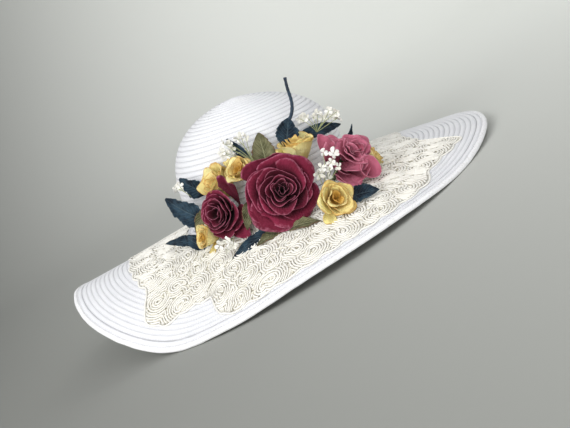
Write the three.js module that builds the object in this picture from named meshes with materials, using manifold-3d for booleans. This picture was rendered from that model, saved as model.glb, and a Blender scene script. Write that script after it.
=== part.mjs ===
// A wide-brimmed hat of sewn straw braid, with pierced lace on its brim and a cluster of cloth flowers.
// Sizes are in millimetres. The hat frame has its origin at the middle of the crown's foot, +Z up through
// the crown, the front towards -Y and the trimmed side towards -X. Turns go from the front towards the
// trimmed side, in degrees.
import * as THREE from "three";
import { ParametricGeometry } from "three/addons/geometries/ParametricGeometry.js";
import { mergeVertices } from "three/addons/utils/BufferGeometryUtils.js";
import Module from "manifold-3d";

const wasm = await Module();
wasm.setup();

// Crown: a dome on an oval foot, with steep sides and a flatter top that leans and slopes to the front
const CROWN_HALF_WIDTH = 88;
const CROWN_HALF_LENGTH = 100;
const CROWN_HEIGHT = 120.5;
const CROWN_SIDE_FULLNESS = 3.8;
const CROWN_TOP_FULLNESS = 1.7;
const CROWN_LEAN = 6.5;
const CROWN_SLOPE = 9.5;
const CROWN_WALL = 2;
const CROWN_SEGMENTS = 32;
const CROWN_OUTER_STEPS = 9;
const CROWN_INNER_STEPS = 6;

// Brim: its braid runs outwards from the crown's foot, and its edge hangs lower or higher round the hat
const BRIM_WIDTH = 160;
const BRIM_WALL = 1.5;
const BRIM_SEGMENTS = 60;
const BRIM_CURVE = 1.4;
const BRIM_SLACK = 1.05;
const BRIM_SEAT = -0.02;
const BRIM_END = 0.93;
const HEM_DEPTH = 3.5;
const BRIM_EDGE = [
  { turn: 0, drop: 17 },
  { turn: 22.5, drop: 18 },
  { turn: 45, drop: 28.5 },
  { turn: 67.5, drop: 32 },
  { turn: 90, drop: 42.5 },
  { turn: 112.5, drop: 63 },
  { turn: 135, drop: 73 },
  { turn: 157.5, drop: 38.5 },
  { turn: 180, drop: 12 },
  { turn: 202.5, drop: 28 },
  { turn: 225, drop: 51 },
  { turn: 247.5, drop: 54 },
  { turn: 270, drop: 53 },
  { turn: 292.5, drop: 52 },
  { turn: 315, drop: 39 },
  { turn: 337.5, drop: 26 },
];

// Section of the turned-down hem: share of the brim's width, and height above the braid
const HEM_SECTION = [
  { reach: 0.9325, lift: 0.4 },
  { reach: 0.975, lift: 0.9 },
  { reach: 1, lift: -0.9 },
  { reach: 0.998, lift: -HEM_DEPTH },
  { reach: 0.98, lift: -2.6 },
  { reach: 0.9325, lift: -1.8 },
];

// How the hat stands by itself on three stretches of its hem
const REST_PITCH = 7.8;
const REST_ROLL = -1.85;

// Clearance between touching pieces, and the height that the lace takes above the braid
const GAP = 0.3;
const LACE_THICKNESS = 1;
const LACE_LIFT = 0.65;
const LACE_TOP = LACE_LIFT + LACE_THICKNESS;

// Lace: how far it reaches over the brim, round the hat
const LACE_START = 0.05;
const LACE_COLUMNS = 30;
const LACE_ROWS = 3;
const LACE_EDGE = [
  { turn: 0, reach: 0.4 },
  { turn: 12, reach: 0.46 },
  { turn: 22, reach: 0.56 },
  { turn: 26, reach: 0.86 },
  { turn: 36, reach: 0.81 },
  { turn: 45, reach: 0.78 },
  { turn: 54, reach: 0.9 },
  { turn: 66, reach: 0.915 },
  { turn: 84, reach: 0.915 },
  { turn: 102, reach: 0.92 },
  { turn: 114, reach: 0.91 },
  { turn: 120, reach: 0.7 },
  { turn: 130, reach: 0.73 },
  { turn: 138, reach: 0.85 },
  { turn: 145, reach: 0.82 },
  { turn: 149, reach: 0.62 },
  { turn: 160, reach: 0.57 },
  { turn: 180, reach: 0.52 },
  { turn: 204, reach: 0.62 },
  { turn: 222, reach: 0.74 },
  { turn: 234, reach: 0.62 },
  { turn: 252, reach: 0.78 },
  { turn: 270, reach: 0.66 },
  { turn: 288, reach: 0.78 },
  { turn: 306, reach: 0.6 },
  { turn: 324, reach: 0.68 },
  { turn: 342, reach: 0.5 },
];

// The first word of a flower's, leaf's or sprig's name is its finish.
// Flowers: middle of the face, lean of the axis above the floor of the brim, turn of the axis towards the
// back, radius of the face, depth behind it down to the calyx, and rows of petals
const ROSES = [
  {
    name: "wine_rose_large", x: -150, y: -11, z: 27,
    lean: 18, turn: 0, radius: 40, depth: 62, rows: 3,
  },
  {
    name: "wine_rose_small", x: -110, y: 59, z: 26,
    lean: 12, turn: 20, radius: 27, depth: 34, rows: 2,
  },
  {
    name: "pink_rose", x: -126, y: -86, z: 22,
    lean: 22, turn: -22, radius: 32, depth: 58, rows: 2,
  },
  {
    name: "yellow_rose_low_front", x: -182, y: -54, z: 3,
    lean: 18, turn: -12, radius: 19, depth: 42, rows: 1,
  },
  {
    name: "yellow_rose_top", x: -96, y: -45, z: 55,
    lean: 50, turn: -10, radius: 20, depth: 30, rows: 1,
  },
  {
    name: "yellow_rose_front_edge", x: -102, y: -114, z: 11,
    lean: 15, turn: -55, radius: 16, depth: 28, rows: 1,
  },
  {
    name: "yellow_bud_top", x: -103, y: 22, z: 57,
    lean: 30, turn: 5, radius: 16, depth: 24, rows: 1,
  },
  {
    name: "yellow_rose_back", x: -88, y: 52, z: 55,
    lean: 40, turn: 35, radius: 20, depth: 24, rows: 1,
  },
  {
    name: "yellow_rose_low_back", x: -103, y: 85, z: 6,
    lean: 5, turn: 50, radius: 16, depth: 30, rows: 1,
  },
];

// Leaves: where each one starts and ends, its width, its fold along the midrib, and which way its face
// looks, as the lean of the face above the floor of the brim and its turn towards the back
const LEAF_WALL = 1;
const LEAVES = [
  {
    name: "green_leaf_top", from: [-99, -7, 44], to: [-84, -14, 83], width: 29, fold: 3,
    lean: 10, turn: 0,
  },
  {
    name: "green_leaf_back", from: [-90, 69, 33], to: [-88, 93, 14], width: 16, fold: 2,
    lean: 15, turn: 35,
  },
  {
    name: "green_leaf_between", from: [-120, 25, 26], to: [-132, 39, 2], width: 15, fold: 2,
    lean: 10, turn: 0,
  },
  {
    name: "green_leaf_low", from: [-146, 4, -9], to: [-156, 36, -11], width: 14, fold: 2,
    lean: 50, turn: 10,
  },
  {
    name: "green_leaf_low_front", from: [-160, 0, -8], to: [-174, -32, -11], width: 15, fold: 2,
    lean: 55, turn: -5,
  },
  {
    name: "navy_leaf_back_upper", from: [-68, 66, 44], to: [-64, 86, 70], width: 24, fold: 3,
    lean: 5, turn: 30,
  },
  {
    name: "navy_leaf_back_large", from: [-82, 78, 18], to: [-66, 110, 57], width: 30, fold: 4,
    lean: 5, turn: 25,
  },
  {
    name: "navy_leaf_back_low", from: [-78, 86, 0], to: [-60, 131, 12], width: 14, fold: 2,
    lean: 30, turn: 15,
  },
  {
    name: "navy_leaf_back_inner", from: [-90, 92, -5], to: [-80, 106, 14], width: 15, fold: 2,
    lean: 10, turn: 30,
  },
  {
    name: "navy_leaf_top", from: [-92, -35, 58], to: [-76, -51, 83], width: 28, fold: 3,
    lean: 15, turn: -10,
  },
  {
    name: "navy_leaf_top_front", from: [-80, -54, 60], to: [-60, -103, 50], width: 16, fold: 2,
    lean: 10, turn: -25,
  },
  {
    name: "navy_leaf_low_front", from: [-160, -68, -6], to: [-176, -97, -7], width: 22, fold: 3,
    lean: 40, turn: -10,
  },
  {
    name: "navy_leaf_low", from: [-138, 10, -7], to: [-142, 65, -15], width: 18, fold: 2,
    lean: 45, turn: 10,
  },
  {
    name: "navy_curl_top", from: [-96, 6, 60], to: [-82, 20, 91], width: 11, fold: 3,
    lean: 0, turn: 0,
  },
  {
    name: "navy_curl_front", from: [-62, -97, 26], to: [-60, -113, 44], width: 6, fold: 1.5,
    lean: 0, turn: -30,
  },
];

// Stalks of leaves and sprigs: a high one leads into the crown's side and a low one down into the brim
const STALK_RADIUS = 0.9;
const STALK_SIDES = 3;
const STALK_LENGTH = 25;
const LOW_STALK = 10;

// The bare stem that rises from the crown's side behind the top leaf: points along it
const STEM_RADIUS = 1.5;
const STEM_SIDES = 5;
const STEM_STEPS = 8;
const STEM_PATH = [
  [-62, -41, 74],
  [-72, -47, 77],
  [-77.5, -52, 84],
  [-80, -55, 95],
  [-84, -61, 110],
  [-87, -63, 124],
];

// Sprigs of small blossoms: where the stalk leaves the cluster, the middle of the blossoms, how far they
// spread along the hat and upwards, and how many there are
const TWIG_RADIUS = 0.7;
const BLOSSOM_RADIUS = 3.4;
const SPRIGS = [
  {
    name: "white_sprig_top_back", root: [-100, 3, 57], middle: [-86, 22, 80],
    along: 10, up: 11, count: 5,
  },
  {
    name: "white_sprig_front", root: [-157, -48, 8], middle: [-164, -60, 32],
    along: 12, up: 16, count: 6,
  },
  {
    name: "white_sprig_low", root: [-130, 56, -1], middle: [-138, 65, -3],
    along: 11, up: 6, count: 4,
  },
  {
    name: "white_sprig_top_front", root: [-76, -72, 55], middle: [-62, -82, 72],
    along: 22, up: 6, count: 6,
  },
  {
    name: "white_sprig_back", root: [-70, 81, 48], middle: [-64, 92, 64],
    along: 4, up: 4, count: 2,
  },
];
const GOLDEN_TURN = 137.5;

const FINISHES = {
  straw: { color: 0xf4f3f1, roughness: 0.75, metalness: 0 },
  lace: { color: 0xe9e0cb, roughness: 0.85, metalness: 0 },
  wine: { color: 0x8c2850, roughness: 0.8, metalness: 0 },
  pink: { color: 0xb95578, roughness: 0.8, metalness: 0 },
  yellow: { color: 0xdfbb5a, roughness: 0.8, metalness: 0 },
  green: { color: 0x78824f, roughness: 0.85, metalness: 0 },
  navy: { color: 0x173050, roughness: 0.85, metalness: 0 },
  white: { color: 0xf6f4ec, roughness: 0.8, metalness: 0 },
};

const radians = THREE.MathUtils.degToRad;

// Smooth closed curve through the rows of a table that are spaced evenly round the hat
function evenTable(rows, column) {
  const step = 360 / rows.length;
  const value = (i) => rows[(i + rows.length) % rows.length][column];
  return (turn) => {
    const place = (((turn % 360) + 360) % 360) / step;
    const i = Math.floor(place);
    const f = place - i;
    const [a, b, c, d] = [value(i - 1), value(i), value(i + 1), value(i + 2)];
    const square = 2 * a - 5 * b + 4 * c - d;
    const cube = 3 * b - a - 3 * c + d;
    return 0.5 * (2 * b + (c - a) * f + square * f ** 2 + cube * f ** 3);
  };
}

// Straight steps between the rows of a table that are spaced unevenly round the hat
function unevenTable(rows, column) {
  return (turn) => {
    const t = ((turn % 360) + 360) % 360;
    const next = rows.findIndex((row) => row.turn > t);
    const after = next < 0 ? { ...rows[0], turn: 360 } : rows[next];
    const before = next < 0 ? rows[rows.length - 1] : rows[next - 1];
    const f = (t - before.turn) / (after.turn - before.turn);
    return THREE.MathUtils.lerp(before[column], after[column], f);
  };
}

const edgeDrop = evenTable(BRIM_EDGE, "drop");
const laceReach = unevenTable(LACE_EDGE, "reach");

// A point on the brim: share of the way from the crown's foot to the edge, and height above the top face
function brimPoint(turn, reach, lift, target = new THREE.Vector3()) {
  const a = radians(turn);
  const fall = edgeDrop(turn) - HEM_DEPTH;
  const width = Math.sqrt(BRIM_WIDTH ** 2 - (BRIM_SLACK * edgeDrop(turn)) ** 2);
  const out = Math.max(reach, 0);
  const slope = Math.atan((fall * BRIM_CURVE * out ** (BRIM_CURVE - 1)) / width);
  const along = width * reach + lift * Math.sin(slope);
  return target.set(
    -Math.sin(a) * (CROWN_HALF_WIDTH + along),
    -Math.cos(a) * (CROWN_HALF_LENGTH + along),
    -fall * out ** BRIM_CURVE + lift * Math.cos(slope),
  );
}

// A point above the brim's facets, which run straight from one segment to the next
function facetPoint(turn, reach, lift) {
  const step = 360 / BRIM_SEGMENTS;
  const before = Math.floor(turn / step + 1e-6) * step;
  const start = brimPoint(before, reach, lift);
  return start.lerp(brimPoint(before + step, reach, lift), Math.max(turn - before, 0) / step);
}

// One closed surface with shared corners and no collapsed triangles
function closed(geometry) {
  const bare = geometry.index ? geometry.toNonIndexed() : geometry.clone();
  for (const name of Object.keys(bare.attributes)) {
    if (name !== "position") bare.deleteAttribute(name);
  }
  const merged = mergeVertices(bare, 1e-3);
  const kept = [];
  const index = merged.index.array;
  for (let i = 0; i < index.length; i += 3) {
    const [a, b, c] = [index[i], index[i + 1], index[i + 2]];
    if (a !== b && b !== c && c !== a) kept.push(a, b, c);
  }
  merged.setIndex(kept);
  return merged;
}

// Closed surfaces as solids that can be cut and joined, and back again
function toSolid(geometry) {
  const shell = closed(geometry);
  const mesh = new wasm.Mesh({
    numProp: 3,
    vertProperties: new Float32Array(shell.attributes.position.array),
    triVerts: new Uint32Array(shell.index.array),
  });
  const made = new wasm.Manifold(mesh);
  if (made.volume() >= 0) return made;
  const triVerts = new Uint32Array(shell.index.array).reverse();
  return new wasm.Manifold(new wasm.Mesh({ numProp: 3, vertProperties: mesh.vertProperties, triVerts }));
}

function toGeometry(solid) {
  const mesh = solid.getMesh();
  const corners = new Float32Array(mesh.numVert * 3);
  for (let i = 0; i < mesh.numVert; i++) {
    corners.set(mesh.vertProperties.subarray(i * mesh.numProp, i * mesh.numProp + 3), i * 3);
  }
  const geometry = new THREE.BufferGeometry();
  geometry.setAttribute("position", new THREE.BufferAttribute(corners, 3));
  geometry.setIndex(new THREE.BufferAttribute(new Uint32Array(mesh.triVerts), 1));
  geometry.computeVertexNormals();
  return geometry;
}

// What is left of a solid once its neighbours have their room: its largest body
function carve(solid, neighbours) {
  let left = solid;
  for (const neighbour of neighbours) left = left.subtract(neighbour);
  const bodies = left.decompose();
  return bodies.reduce((best, body) => (body.volume() > best.volume() ? body : best));
}

// A tube of constant section round the hat, from a table of reach and lift
function roundTheBrim(section) {
  const at = (u, v, target) => {
    const row = section[Math.round(v * section.length) % section.length];
    brimPoint(Math.round(u * BRIM_SEGMENTS) * (360 / BRIM_SEGMENTS), row.reach, row.lift, target);
  };
  return new ParametricGeometry(at, BRIM_SEGMENTS, section.length);
}

// The brim between two heights above its top face
function brimSection(top, bottom, end) {
  const upper = [BRIM_SEAT, 0.05, 0.19, 0.33, 0.475, 0.62, 0.775, end];
  const lower = [end, 0.62, 0.28, BRIM_SEAT];
  return [
    ...upper.map((reach) => ({ reach, lift: top })),
    ...lower.map((reach) => ({ reach, lift: bottom })),
  ];
}

// Points up the crown's side to its top, for a dome grown or shrunk by a clearance
function crownProfile(steps, grow, foot) {
  const points = [];
  for (let i = 0; i <= steps; i++) {
    const rise = radians((90 * i) / steps);
    const radius = (CROWN_HALF_LENGTH + grow) * Math.cos(rise) ** (2 / CROWN_TOP_FULLNESS);
    const height = (CROWN_HEIGHT + grow) * Math.sin(rise) ** (2 / CROWN_SIDE_FULLNESS);
    points.push(new THREE.Vector2(i === steps ? 0 : radius, Math.max(height, foot)));
  }
  return points;
}

function domeGeometry(points) {
  const dome = new THREE.LatheGeometry(points, CROWN_SEGMENTS);
  dome.rotateX(Math.PI / 2);
  dome.scale(CROWN_HALF_WIDTH / CROWN_HALF_LENGTH, 1, 1);
  const places = dome.getAttribute("position");
  for (let i = 0; i < places.count; i++) {
    const [y, z] = [places.getY(i), places.getZ(i)];
    const up = z / CROWN_HEIGHT;
    places.setY(i, y - CROWN_LEAN * up);
    places.setZ(i, z + CROWN_SLOPE * up * (y / CROWN_HALF_LENGTH));
  }
  return dome;
}

function crownGeometry() {
  const outer = crownProfile(CROWN_OUTER_STEPS, 0, GAP);
  const inner = crownProfile(CROWN_INNER_STEPS, -CROWN_WALL, GAP).reverse();
  return domeGeometry([...outer, ...inner, outer[0]]);
}

// Triangles between two loops of corners, one inside the other, that start at the same side
function stitch(outer, inner) {
  const triangles = [];
  let [i, j] = [0, 0];
  while (i < outer.length || j < inner.length) {
    const outerNext = (i + 1) / outer.length;
    const innerNext = (j + 1) / inner.length;
    const a = outer[i % outer.length];
    const b = inner[j % inner.length];
    if (j >= inner.length || (i < outer.length && outerNext <= innerNext)) {
      triangles.push([a, outer[(i + 1) % outer.length], b]);
      i++;
    } else {
      triangles.push([a, inner[(j + 1) % inner.length], b]);
      j++;
    }
  }
  return triangles;
}

// The lace is a sheet of cells, each pierced by one slanted gap, whose outer border swings in and out
function laceGeometry() {
  const corners = [];
  const addTriangle = (points) => points.forEach((p) => corners.push(p.x, p.y, p.z));
  const reachAt = (turn, row) => THREE.MathUtils.lerp(LACE_START, laceReach(turn), row / LACE_ROWS);
  const lifted = ([turn, reach], lift) => facetPoint(turn, reach, lift);
  const addFaces = (triangle) => {
    addTriangle(triangle.map((corner) => lifted(corner, LACE_TOP)));
    addTriangle([...triangle].reverse().map((corner) => lifted(corner, LACE_LIFT)));
  };
  const addWall = (a, b) => {
    const [low, high] = [lifted(a, LACE_LIFT), lifted(a, LACE_TOP)];
    const [lowNext, highNext] = [lifted(b, LACE_LIFT), lifted(b, LACE_TOP)];
    addTriangle([high, low, lowNext]);
    addTriangle([high, lowNext, highNext]);
  };
  const step = 360 / LACE_COLUMNS;
  for (let column = 0; column < LACE_COLUMNS; column++) {
    const turns = [column * step, (column + 0.5) * step, ((column + 1) % LACE_COLUMNS) * step];
    for (let row = 0; row < LACE_ROWS; row++) {
      const near = turns.map((turn) => [turn, reachAt(turn, row)]);
      const half = turns.map((turn) => [turn, reachAt(turn, row + 0.5)]);
      const far = turns.map((turn) => [turn, reachAt(turn, row + 1)]);
      const deep = far[1][1] - near[1][1];
      const slant = (row + column) % 2 ? 1 : -1;
      const middle = [turns[1], near[1][1] + deep * 0.5];
      const gap = [
        [middle[0] - step * 0.16, middle[1] - deep * 0.08 * slant],
        [middle[0] + step * 0.1 * slant, middle[1] - deep * 0.26],
        [middle[0] + step * 0.16, middle[1] + deep * 0.08 * slant],
        [middle[0] - step * 0.06 * slant, middle[1] + deep * 0.3],
      ];
      const rim = [half[0], near[0], near[1], near[2], half[2], far[2], far[1], far[0]];
      stitch(rim, gap).forEach(addFaces);
      gap.forEach((corner, k) => addWall(gap[(k + 1) % gap.length], corner));
      if (row === 0) {
        addWall(near[0], near[1]);
        addWall(near[1], near[2]);
      }
      if (row === LACE_ROWS - 1) {
        addWall(far[1], far[0]);
        addWall(far[2], far[1]);
      }
    }
  }
  const lace = new THREE.BufferGeometry();
  lace.setAttribute("position", new THREE.Float32BufferAttribute(corners, 3));
  return lace;
}

// Rows of a flower from its calyx over the rim of the face to its heart, as shares of the radius
const ROSE_RIM = 3;
function roseRows(rows) {
  const table = [
    { reach: 0.16, height: -1, ruffle: 0, shift: 0 },
    { reach: 0.2, height: -0.72, ruffle: 0, shift: 0 },
    { reach: 0.62, height: -0.42, ruffle: 0.05, shift: 0 },
    { reach: 1, height: 0.04, ruffle: 0.16, shift: 0 },
    { reach: 0.9, height: 0.14, ruffle: 0.14, shift: 0 },
  ];
  for (let row = 1; row <= rows; row++) {
    const reach = 0.84 * (1 - (row - 0.6) / (rows + 0.55));
    const height = 0.14 + 0.34 * (row / rows);
    const shift = row % 2 ? 0.5 : 0;
    table.push({ reach: reach * 0.97, height: height - 0.2, ruffle: 0.05, shift });
    table.push({ reach: reach * 1.04, height, ruffle: 0.14, shift });
    table.push({ reach: reach * 0.86, height: height + 0.03, ruffle: 0.12, shift });
  }
  table.push({ reach: 0.14, height: 0.26, ruffle: 0, shift: 0 });
  return table;
}

// A flower along +Z with its face at the origin, or the room that it takes, grown by a clearance
function roseGeometry({ radius, depth, rows }, grow) {
  const table = roseRows(rows);
  const petals = rows > 1 ? 5 : 4;
  const sides = petals * { 1: 3, 2: 4, 3: 5 }[rows];
  const at = (u, v, target) => {
    const stack = Math.round(v * (table.length + 1));
    const row = table[THREE.MathUtils.clamp(stack - 1, 0, table.length - 1)];
    const turn = 2 * Math.PI * ((Math.round(u * sides) % sides) / sides);
    const petal = row.ruffle ? Math.abs(Math.sin((petals * turn) / 2 + Math.PI * row.shift)) : 1;
    const pole = stack === 0 || stack === table.length + 1;
    const reach = pole ? 0 : radius * row.reach * (1 - row.ruffle * (1 - petal)) + grow;
    const calyx = row.height < -0.5;
    const height = calyx ? depth * row.height : radius * (row.height + 0.5 * row.ruffle * (petal - 0.5));
    const outwards = stack > ROSE_RIM ? grow : -grow;
    target.set(reach * Math.cos(turn), reach * Math.sin(turn), height + outwards);
  };
  return new ParametricGeometry(at, sides, table.length + 1);
}

// Direction of a face: how far it leans up, and how far it turns from the trimmed side towards the back
function facing({ lean, turn }) {
  const [up, round] = [radians(lean), radians(turn)];
  return new THREE.Vector3(-Math.cos(up) * Math.cos(round), Math.cos(up) * Math.sin(round), Math.sin(up));
}

function rosePlacement(rose) {
  const turn = new THREE.Quaternion().setFromUnitVectors(new THREE.Vector3(0, 0, 1), facing(rose));
  return new THREE.Matrix4().makeRotationFromQuaternion(turn).setPosition(rose.x, rose.y, rose.z);
}

// A round rod along a curve
function rodGeometry(points, radius, sides, steps) {
  const centre = new THREE.Vector2();
  const corner = (_, i) => new THREE.Vector2(radius, 0).rotateAround(centre, (2 * Math.PI * i) / sides);
  const outline = new THREE.Shape(Array.from({ length: sides }, corner));
  const path = new THREE.CatmullRomCurve3(points);
  return new THREE.ExtrudeGeometry(outline, { extrudePath: path, steps, bevelEnabled: false });
}

// The stalk that holds a leaf or a sprig from its start
function stalkGeometry(start) {
  const aim = start.z > LOW_STALK ? new THREE.Vector3(0.5, 0.5, 1) : new THREE.Vector3(1, 1, 1);
  const end = start.clone().multiply(aim);
  if (start.z <= LOW_STALK) end.z -= STALK_LENGTH;
  return rodGeometry([start, end], STALK_RADIUS, STALK_SIDES, 1);
}

// Half-width of a leaf along its length, from its stalk to its point
const LEAF_OUTLINE = [0.12, 0.85, 1, 0.7, 0.08];
const LEAF_SAG = 0.08;
const LEAF_SEAT = 0.04;

// A leaf along +X with its face towards +Z: two halves that meet at the midrib in a shallow fold
function leafGeometry({ from, to, width, fold }, grow) {
  const length = new THREE.Vector3(...from).distanceTo(new THREE.Vector3(...to)) + 2 * grow;
  const thick = LEAF_WALL + 2 * grow;
  const around = [
    { side: 0, face: 0.5 },
    { side: 1, face: 0.4 },
    { side: 1, face: -0.4 },
    { side: 0, face: -0.5 },
    { side: -1, face: -0.4 },
    { side: -1, face: 0.4 },
  ];
  const steps = LEAF_OUTLINE.length + 1;
  const at = (u, v, target) => {
    const step = Math.round(v * steps);
    const spot = around[Math.round(u * around.length) % around.length];
    const end = step === 0 || step === steps;
    const half = end ? 0 : LEAF_OUTLINE[step - 1] * (width / 2 + grow);
    const share = THREE.MathUtils.clamp((step - 1) / (steps - 2), 0, 1);
    const sag = -length * LEAF_SAG * (2 * share - 1) ** 2;
    const cup = fold * Math.abs(spot.side) * (half / (width / 2));
    const ripple = fold * 0.35 * Math.sin(2.5 * Math.PI * share) * spot.side;
    const height = sag + cup + ripple + (end ? 0 : thick * spot.face);
    target.set(length * share - grow, half * spot.side, height);
  };
  return new ParametricGeometry(at, around.length, steps);
}

function leafPlacement(leaf) {
  const start = new THREE.Vector3(...leaf.from);
  const along = new THREE.Vector3(...leaf.to).sub(start).normalize();
  const face = facing(leaf).addScaledVector(along, -facing(leaf).dot(along)).normalize();
  const across = new THREE.Vector3().crossVectors(face, along);
  return new THREE.Matrix4().makeBasis(along, across, face).setPosition(start);
}

// A leaf in its place, joined to its stalk
function leafSolid(leaf, placement) {
  const length = new THREE.Vector3(...leaf.from).distanceTo(new THREE.Vector3(...leaf.to));
  const sag = -length * LEAF_SAG * (2 * LEAF_SEAT - 1) ** 2;
  const start = new THREE.Vector3(length * LEAF_SEAT, 0, sag).applyMatrix4(placement);
  return toSolid(leafGeometry(leaf, 0).applyMatrix4(placement)).add(toSolid(stalkGeometry(start)));
}

// Places of a sprig's blossoms, spread round their middle by the golden turn
function blossomPlaces({ middle, along, up, count }) {
  return Array.from({ length: count }, (_, i) => {
    const turn = radians(GOLDEN_TURN * i);
    const share = Math.sqrt((i + 0.5) / count);
    return new THREE.Vector3(
      middle[0] - 1.5 * Math.cos(3 * turn),
      middle[1] + along * share * Math.cos(turn),
      middle[2] + up * share * Math.sin(turn),
    );
  });
}

// A thin stem that swells to a blossom at its end
const TWIG_SIDES = 3;
const TWIG_PROFILE = [
  { radius: 0, back: Infinity },
  { radius: TWIG_RADIUS, back: Infinity },
  { radius: TWIG_RADIUS, back: BLOSSOM_RADIUS },
  { radius: BLOSSOM_RADIUS, back: 0 },
  { radius: 0, back: -0.7 * BLOSSOM_RADIUS },
];

function twigGeometry(start, place) {
  const along = place.clone().sub(start);
  const length = along.length();
  const turn = new THREE.Quaternion().setFromUnitVectors(new THREE.Vector3(0, 0, 1), along.normalize());
  const at = (u, v, target) => {
    const station = TWIG_PROFILE[Math.round(v * (TWIG_PROFILE.length - 1))];
    const round = (2 * Math.PI * (Math.round(u * TWIG_SIDES) % TWIG_SIDES)) / TWIG_SIDES;
    const height = length - Math.min(station.back, length);
    target.set(station.radius * Math.cos(round), station.radius * Math.sin(round), height);
    target.applyQuaternion(turn).add(start);
  };
  return new ParametricGeometry(at, TWIG_SIDES, TWIG_PROFILE.length - 1);
}

// The first blossom ends the stalk, and the others branch off along it
function sprigSolid(sprig) {
  const [top, ...others] = blossomPlaces(sprig);
  const root = new THREE.Vector3(...sprig.root);
  const starts = others.map((_, i) => root.clone().lerp(top, (i + 1) / sprig.count - 0.1));
  const twigs = others.map((place, i) => toSolid(twigGeometry(starts[i], place)));
  const stalk = toSolid(stalkGeometry(root)).add(toSolid(twigGeometry(root, top)));
  return twigs.reduce((made, twig) => made.add(twig), stalk);
}

const hat = new THREE.Group();
hat.rotation.set(radians(REST_PITCH), radians(REST_ROLL), 0);

// Adds a solid made in the hat frame as a mesh that is placed by its own position and rotation
function addMesh(name, solid, finish, placement = new THREE.Matrix4()) {
  const material = new THREE.MeshStandardMaterial(FINISHES[finish]);
  const mesh = new THREE.Mesh(toGeometry(solid).applyMatrix4(placement.clone().invert()), material);
  mesh.name = name;
  placement.decompose(mesh.position, mesh.quaternion, mesh.scale);
  hat.add(mesh);
}

const finishOf = ({ name }) => name.split("_")[0];

// The room that the hat itself takes, for everything that sits on it
const hatRoom = [
  toSolid(domeGeometry([new THREE.Vector2(0, -1), ...crownProfile(CROWN_OUTER_STEPS, GAP, -1)])),
  toSolid(roundTheBrim(brimSection(LACE_TOP + GAP, -60, 1.1))),
];

addMesh("crown", toSolid(crownGeometry()), "straw");
addMesh("brim", toSolid(roundTheBrim(brimSection(0, -BRIM_WALL, BRIM_END))), "straw");
addMesh("edge_binding", toSolid(roundTheBrim(HEM_SECTION)), "straw");
addMesh("lace_applique", toSolid(laceGeometry()), "lace");

const taken = [...hatRoom];

for (const rose of ROSES) {
  const placement = rosePlacement(rose);
  const made = carve(toSolid(roseGeometry(rose, 0).applyMatrix4(placement)), taken);
  taken.push(toSolid(roseGeometry(rose, GAP).applyMatrix4(placement)));
  addMesh(rose.name, made, finishOf(rose), placement);
}

for (const leaf of LEAVES) {
  const placement = leafPlacement(leaf);
  const made = carve(leafSolid(leaf, placement), taken);
  taken.push(toSolid(leafGeometry(leaf, GAP).applyMatrix4(placement)));
  addMesh(leaf.name, made, finishOf(leaf), placement);
}

const stemPoints = STEM_PATH.map((p) => new THREE.Vector3(...p));
const stemGeometry = (grow) => rodGeometry(stemPoints, STEM_RADIUS + grow, STEM_SIDES, STEM_STEPS);
addMesh("navy_stem", carve(toSolid(stemGeometry(0)), taken), "navy");
taken.push(toSolid(stemGeometry(GAP)));

for (const sprig of SPRIGS) {
  addMesh(sprig.name, carve(sprigSolid(sprig), taken), finishOf(sprig));
}

// The origin is on the floor under the middle of the whole hat
hat.updateMatrixWorld(true);
const reach = new THREE.Box3().setFromObject(hat, true);
const middle = reach.getCenter(new THREE.Vector3());
hat.position.set(-middle.x, -middle.y, -reach.min.z);

export default hat;
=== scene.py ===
"""A race day hat of sewn straw braid, with scroll lace on its brim and a cluster of cloth flowers.

Every table is in millimetres and degrees, in the hat's own frame: the origin is the middle of the crown's
foot, +Z goes up through the crown, the front looks to -Y and the trimmed side to -X. Turns go from the
front towards the trimmed side. HatShape.to_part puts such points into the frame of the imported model.
"""

import logging
import math
from dataclasses import dataclass
from enum import Enum
from functools import cache

import bmesh
import bpy
import numpy as np
from mathutils import Matrix, Vector


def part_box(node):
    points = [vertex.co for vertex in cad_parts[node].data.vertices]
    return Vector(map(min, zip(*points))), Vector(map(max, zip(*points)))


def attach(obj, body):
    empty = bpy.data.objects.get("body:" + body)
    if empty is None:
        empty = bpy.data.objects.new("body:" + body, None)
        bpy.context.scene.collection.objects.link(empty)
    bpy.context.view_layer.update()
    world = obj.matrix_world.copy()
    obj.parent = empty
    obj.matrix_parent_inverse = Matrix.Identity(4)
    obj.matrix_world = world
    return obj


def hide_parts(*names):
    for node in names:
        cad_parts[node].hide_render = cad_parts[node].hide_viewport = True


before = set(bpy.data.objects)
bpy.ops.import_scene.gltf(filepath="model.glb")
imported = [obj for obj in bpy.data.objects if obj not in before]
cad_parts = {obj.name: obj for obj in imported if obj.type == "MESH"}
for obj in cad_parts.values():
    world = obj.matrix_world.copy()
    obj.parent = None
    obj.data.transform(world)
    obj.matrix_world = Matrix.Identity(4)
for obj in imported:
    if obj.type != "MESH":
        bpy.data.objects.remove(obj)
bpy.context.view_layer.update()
BODY = "root"
MM = 0.001
PHOTO_WIDTH = 570
FLOWER_SEED = 100
LEAF_SEED = 200
SPRIG_SEED = 300

log = logging.getLogger("hat")

Array = np.ndarray
Pair = tuple[float, float]
Triple = tuple[float, float, float]
Colour = tuple[float, float, float, float]
Material = bpy.types.Material
Node = bpy.types.Node
NodeTree = bpy.types.NodeTree
Socket = bpy.types.NodeSocket
Random = np.random.Generator


def srgb(red: int, green: int, blue: int) -> Colour:
    """A colour as a screen shows it, from 0 to 255, as the linear colour that a shader takes.

    Args:
        red: Its red share.
        green: Its green share.
        blue: Its blue share.

    Returns:
        Linear red, green, blue and full alpha.
    """
    shares = [channel / 255 for channel in (red, green, blue)]
    linear = [s / 12.92 if s <= 0.04045 else ((s + 0.055) / 1.055) ** 2.4 for s in shares]
    return (linear[0], linear[1], linear[2], 1.0)


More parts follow.
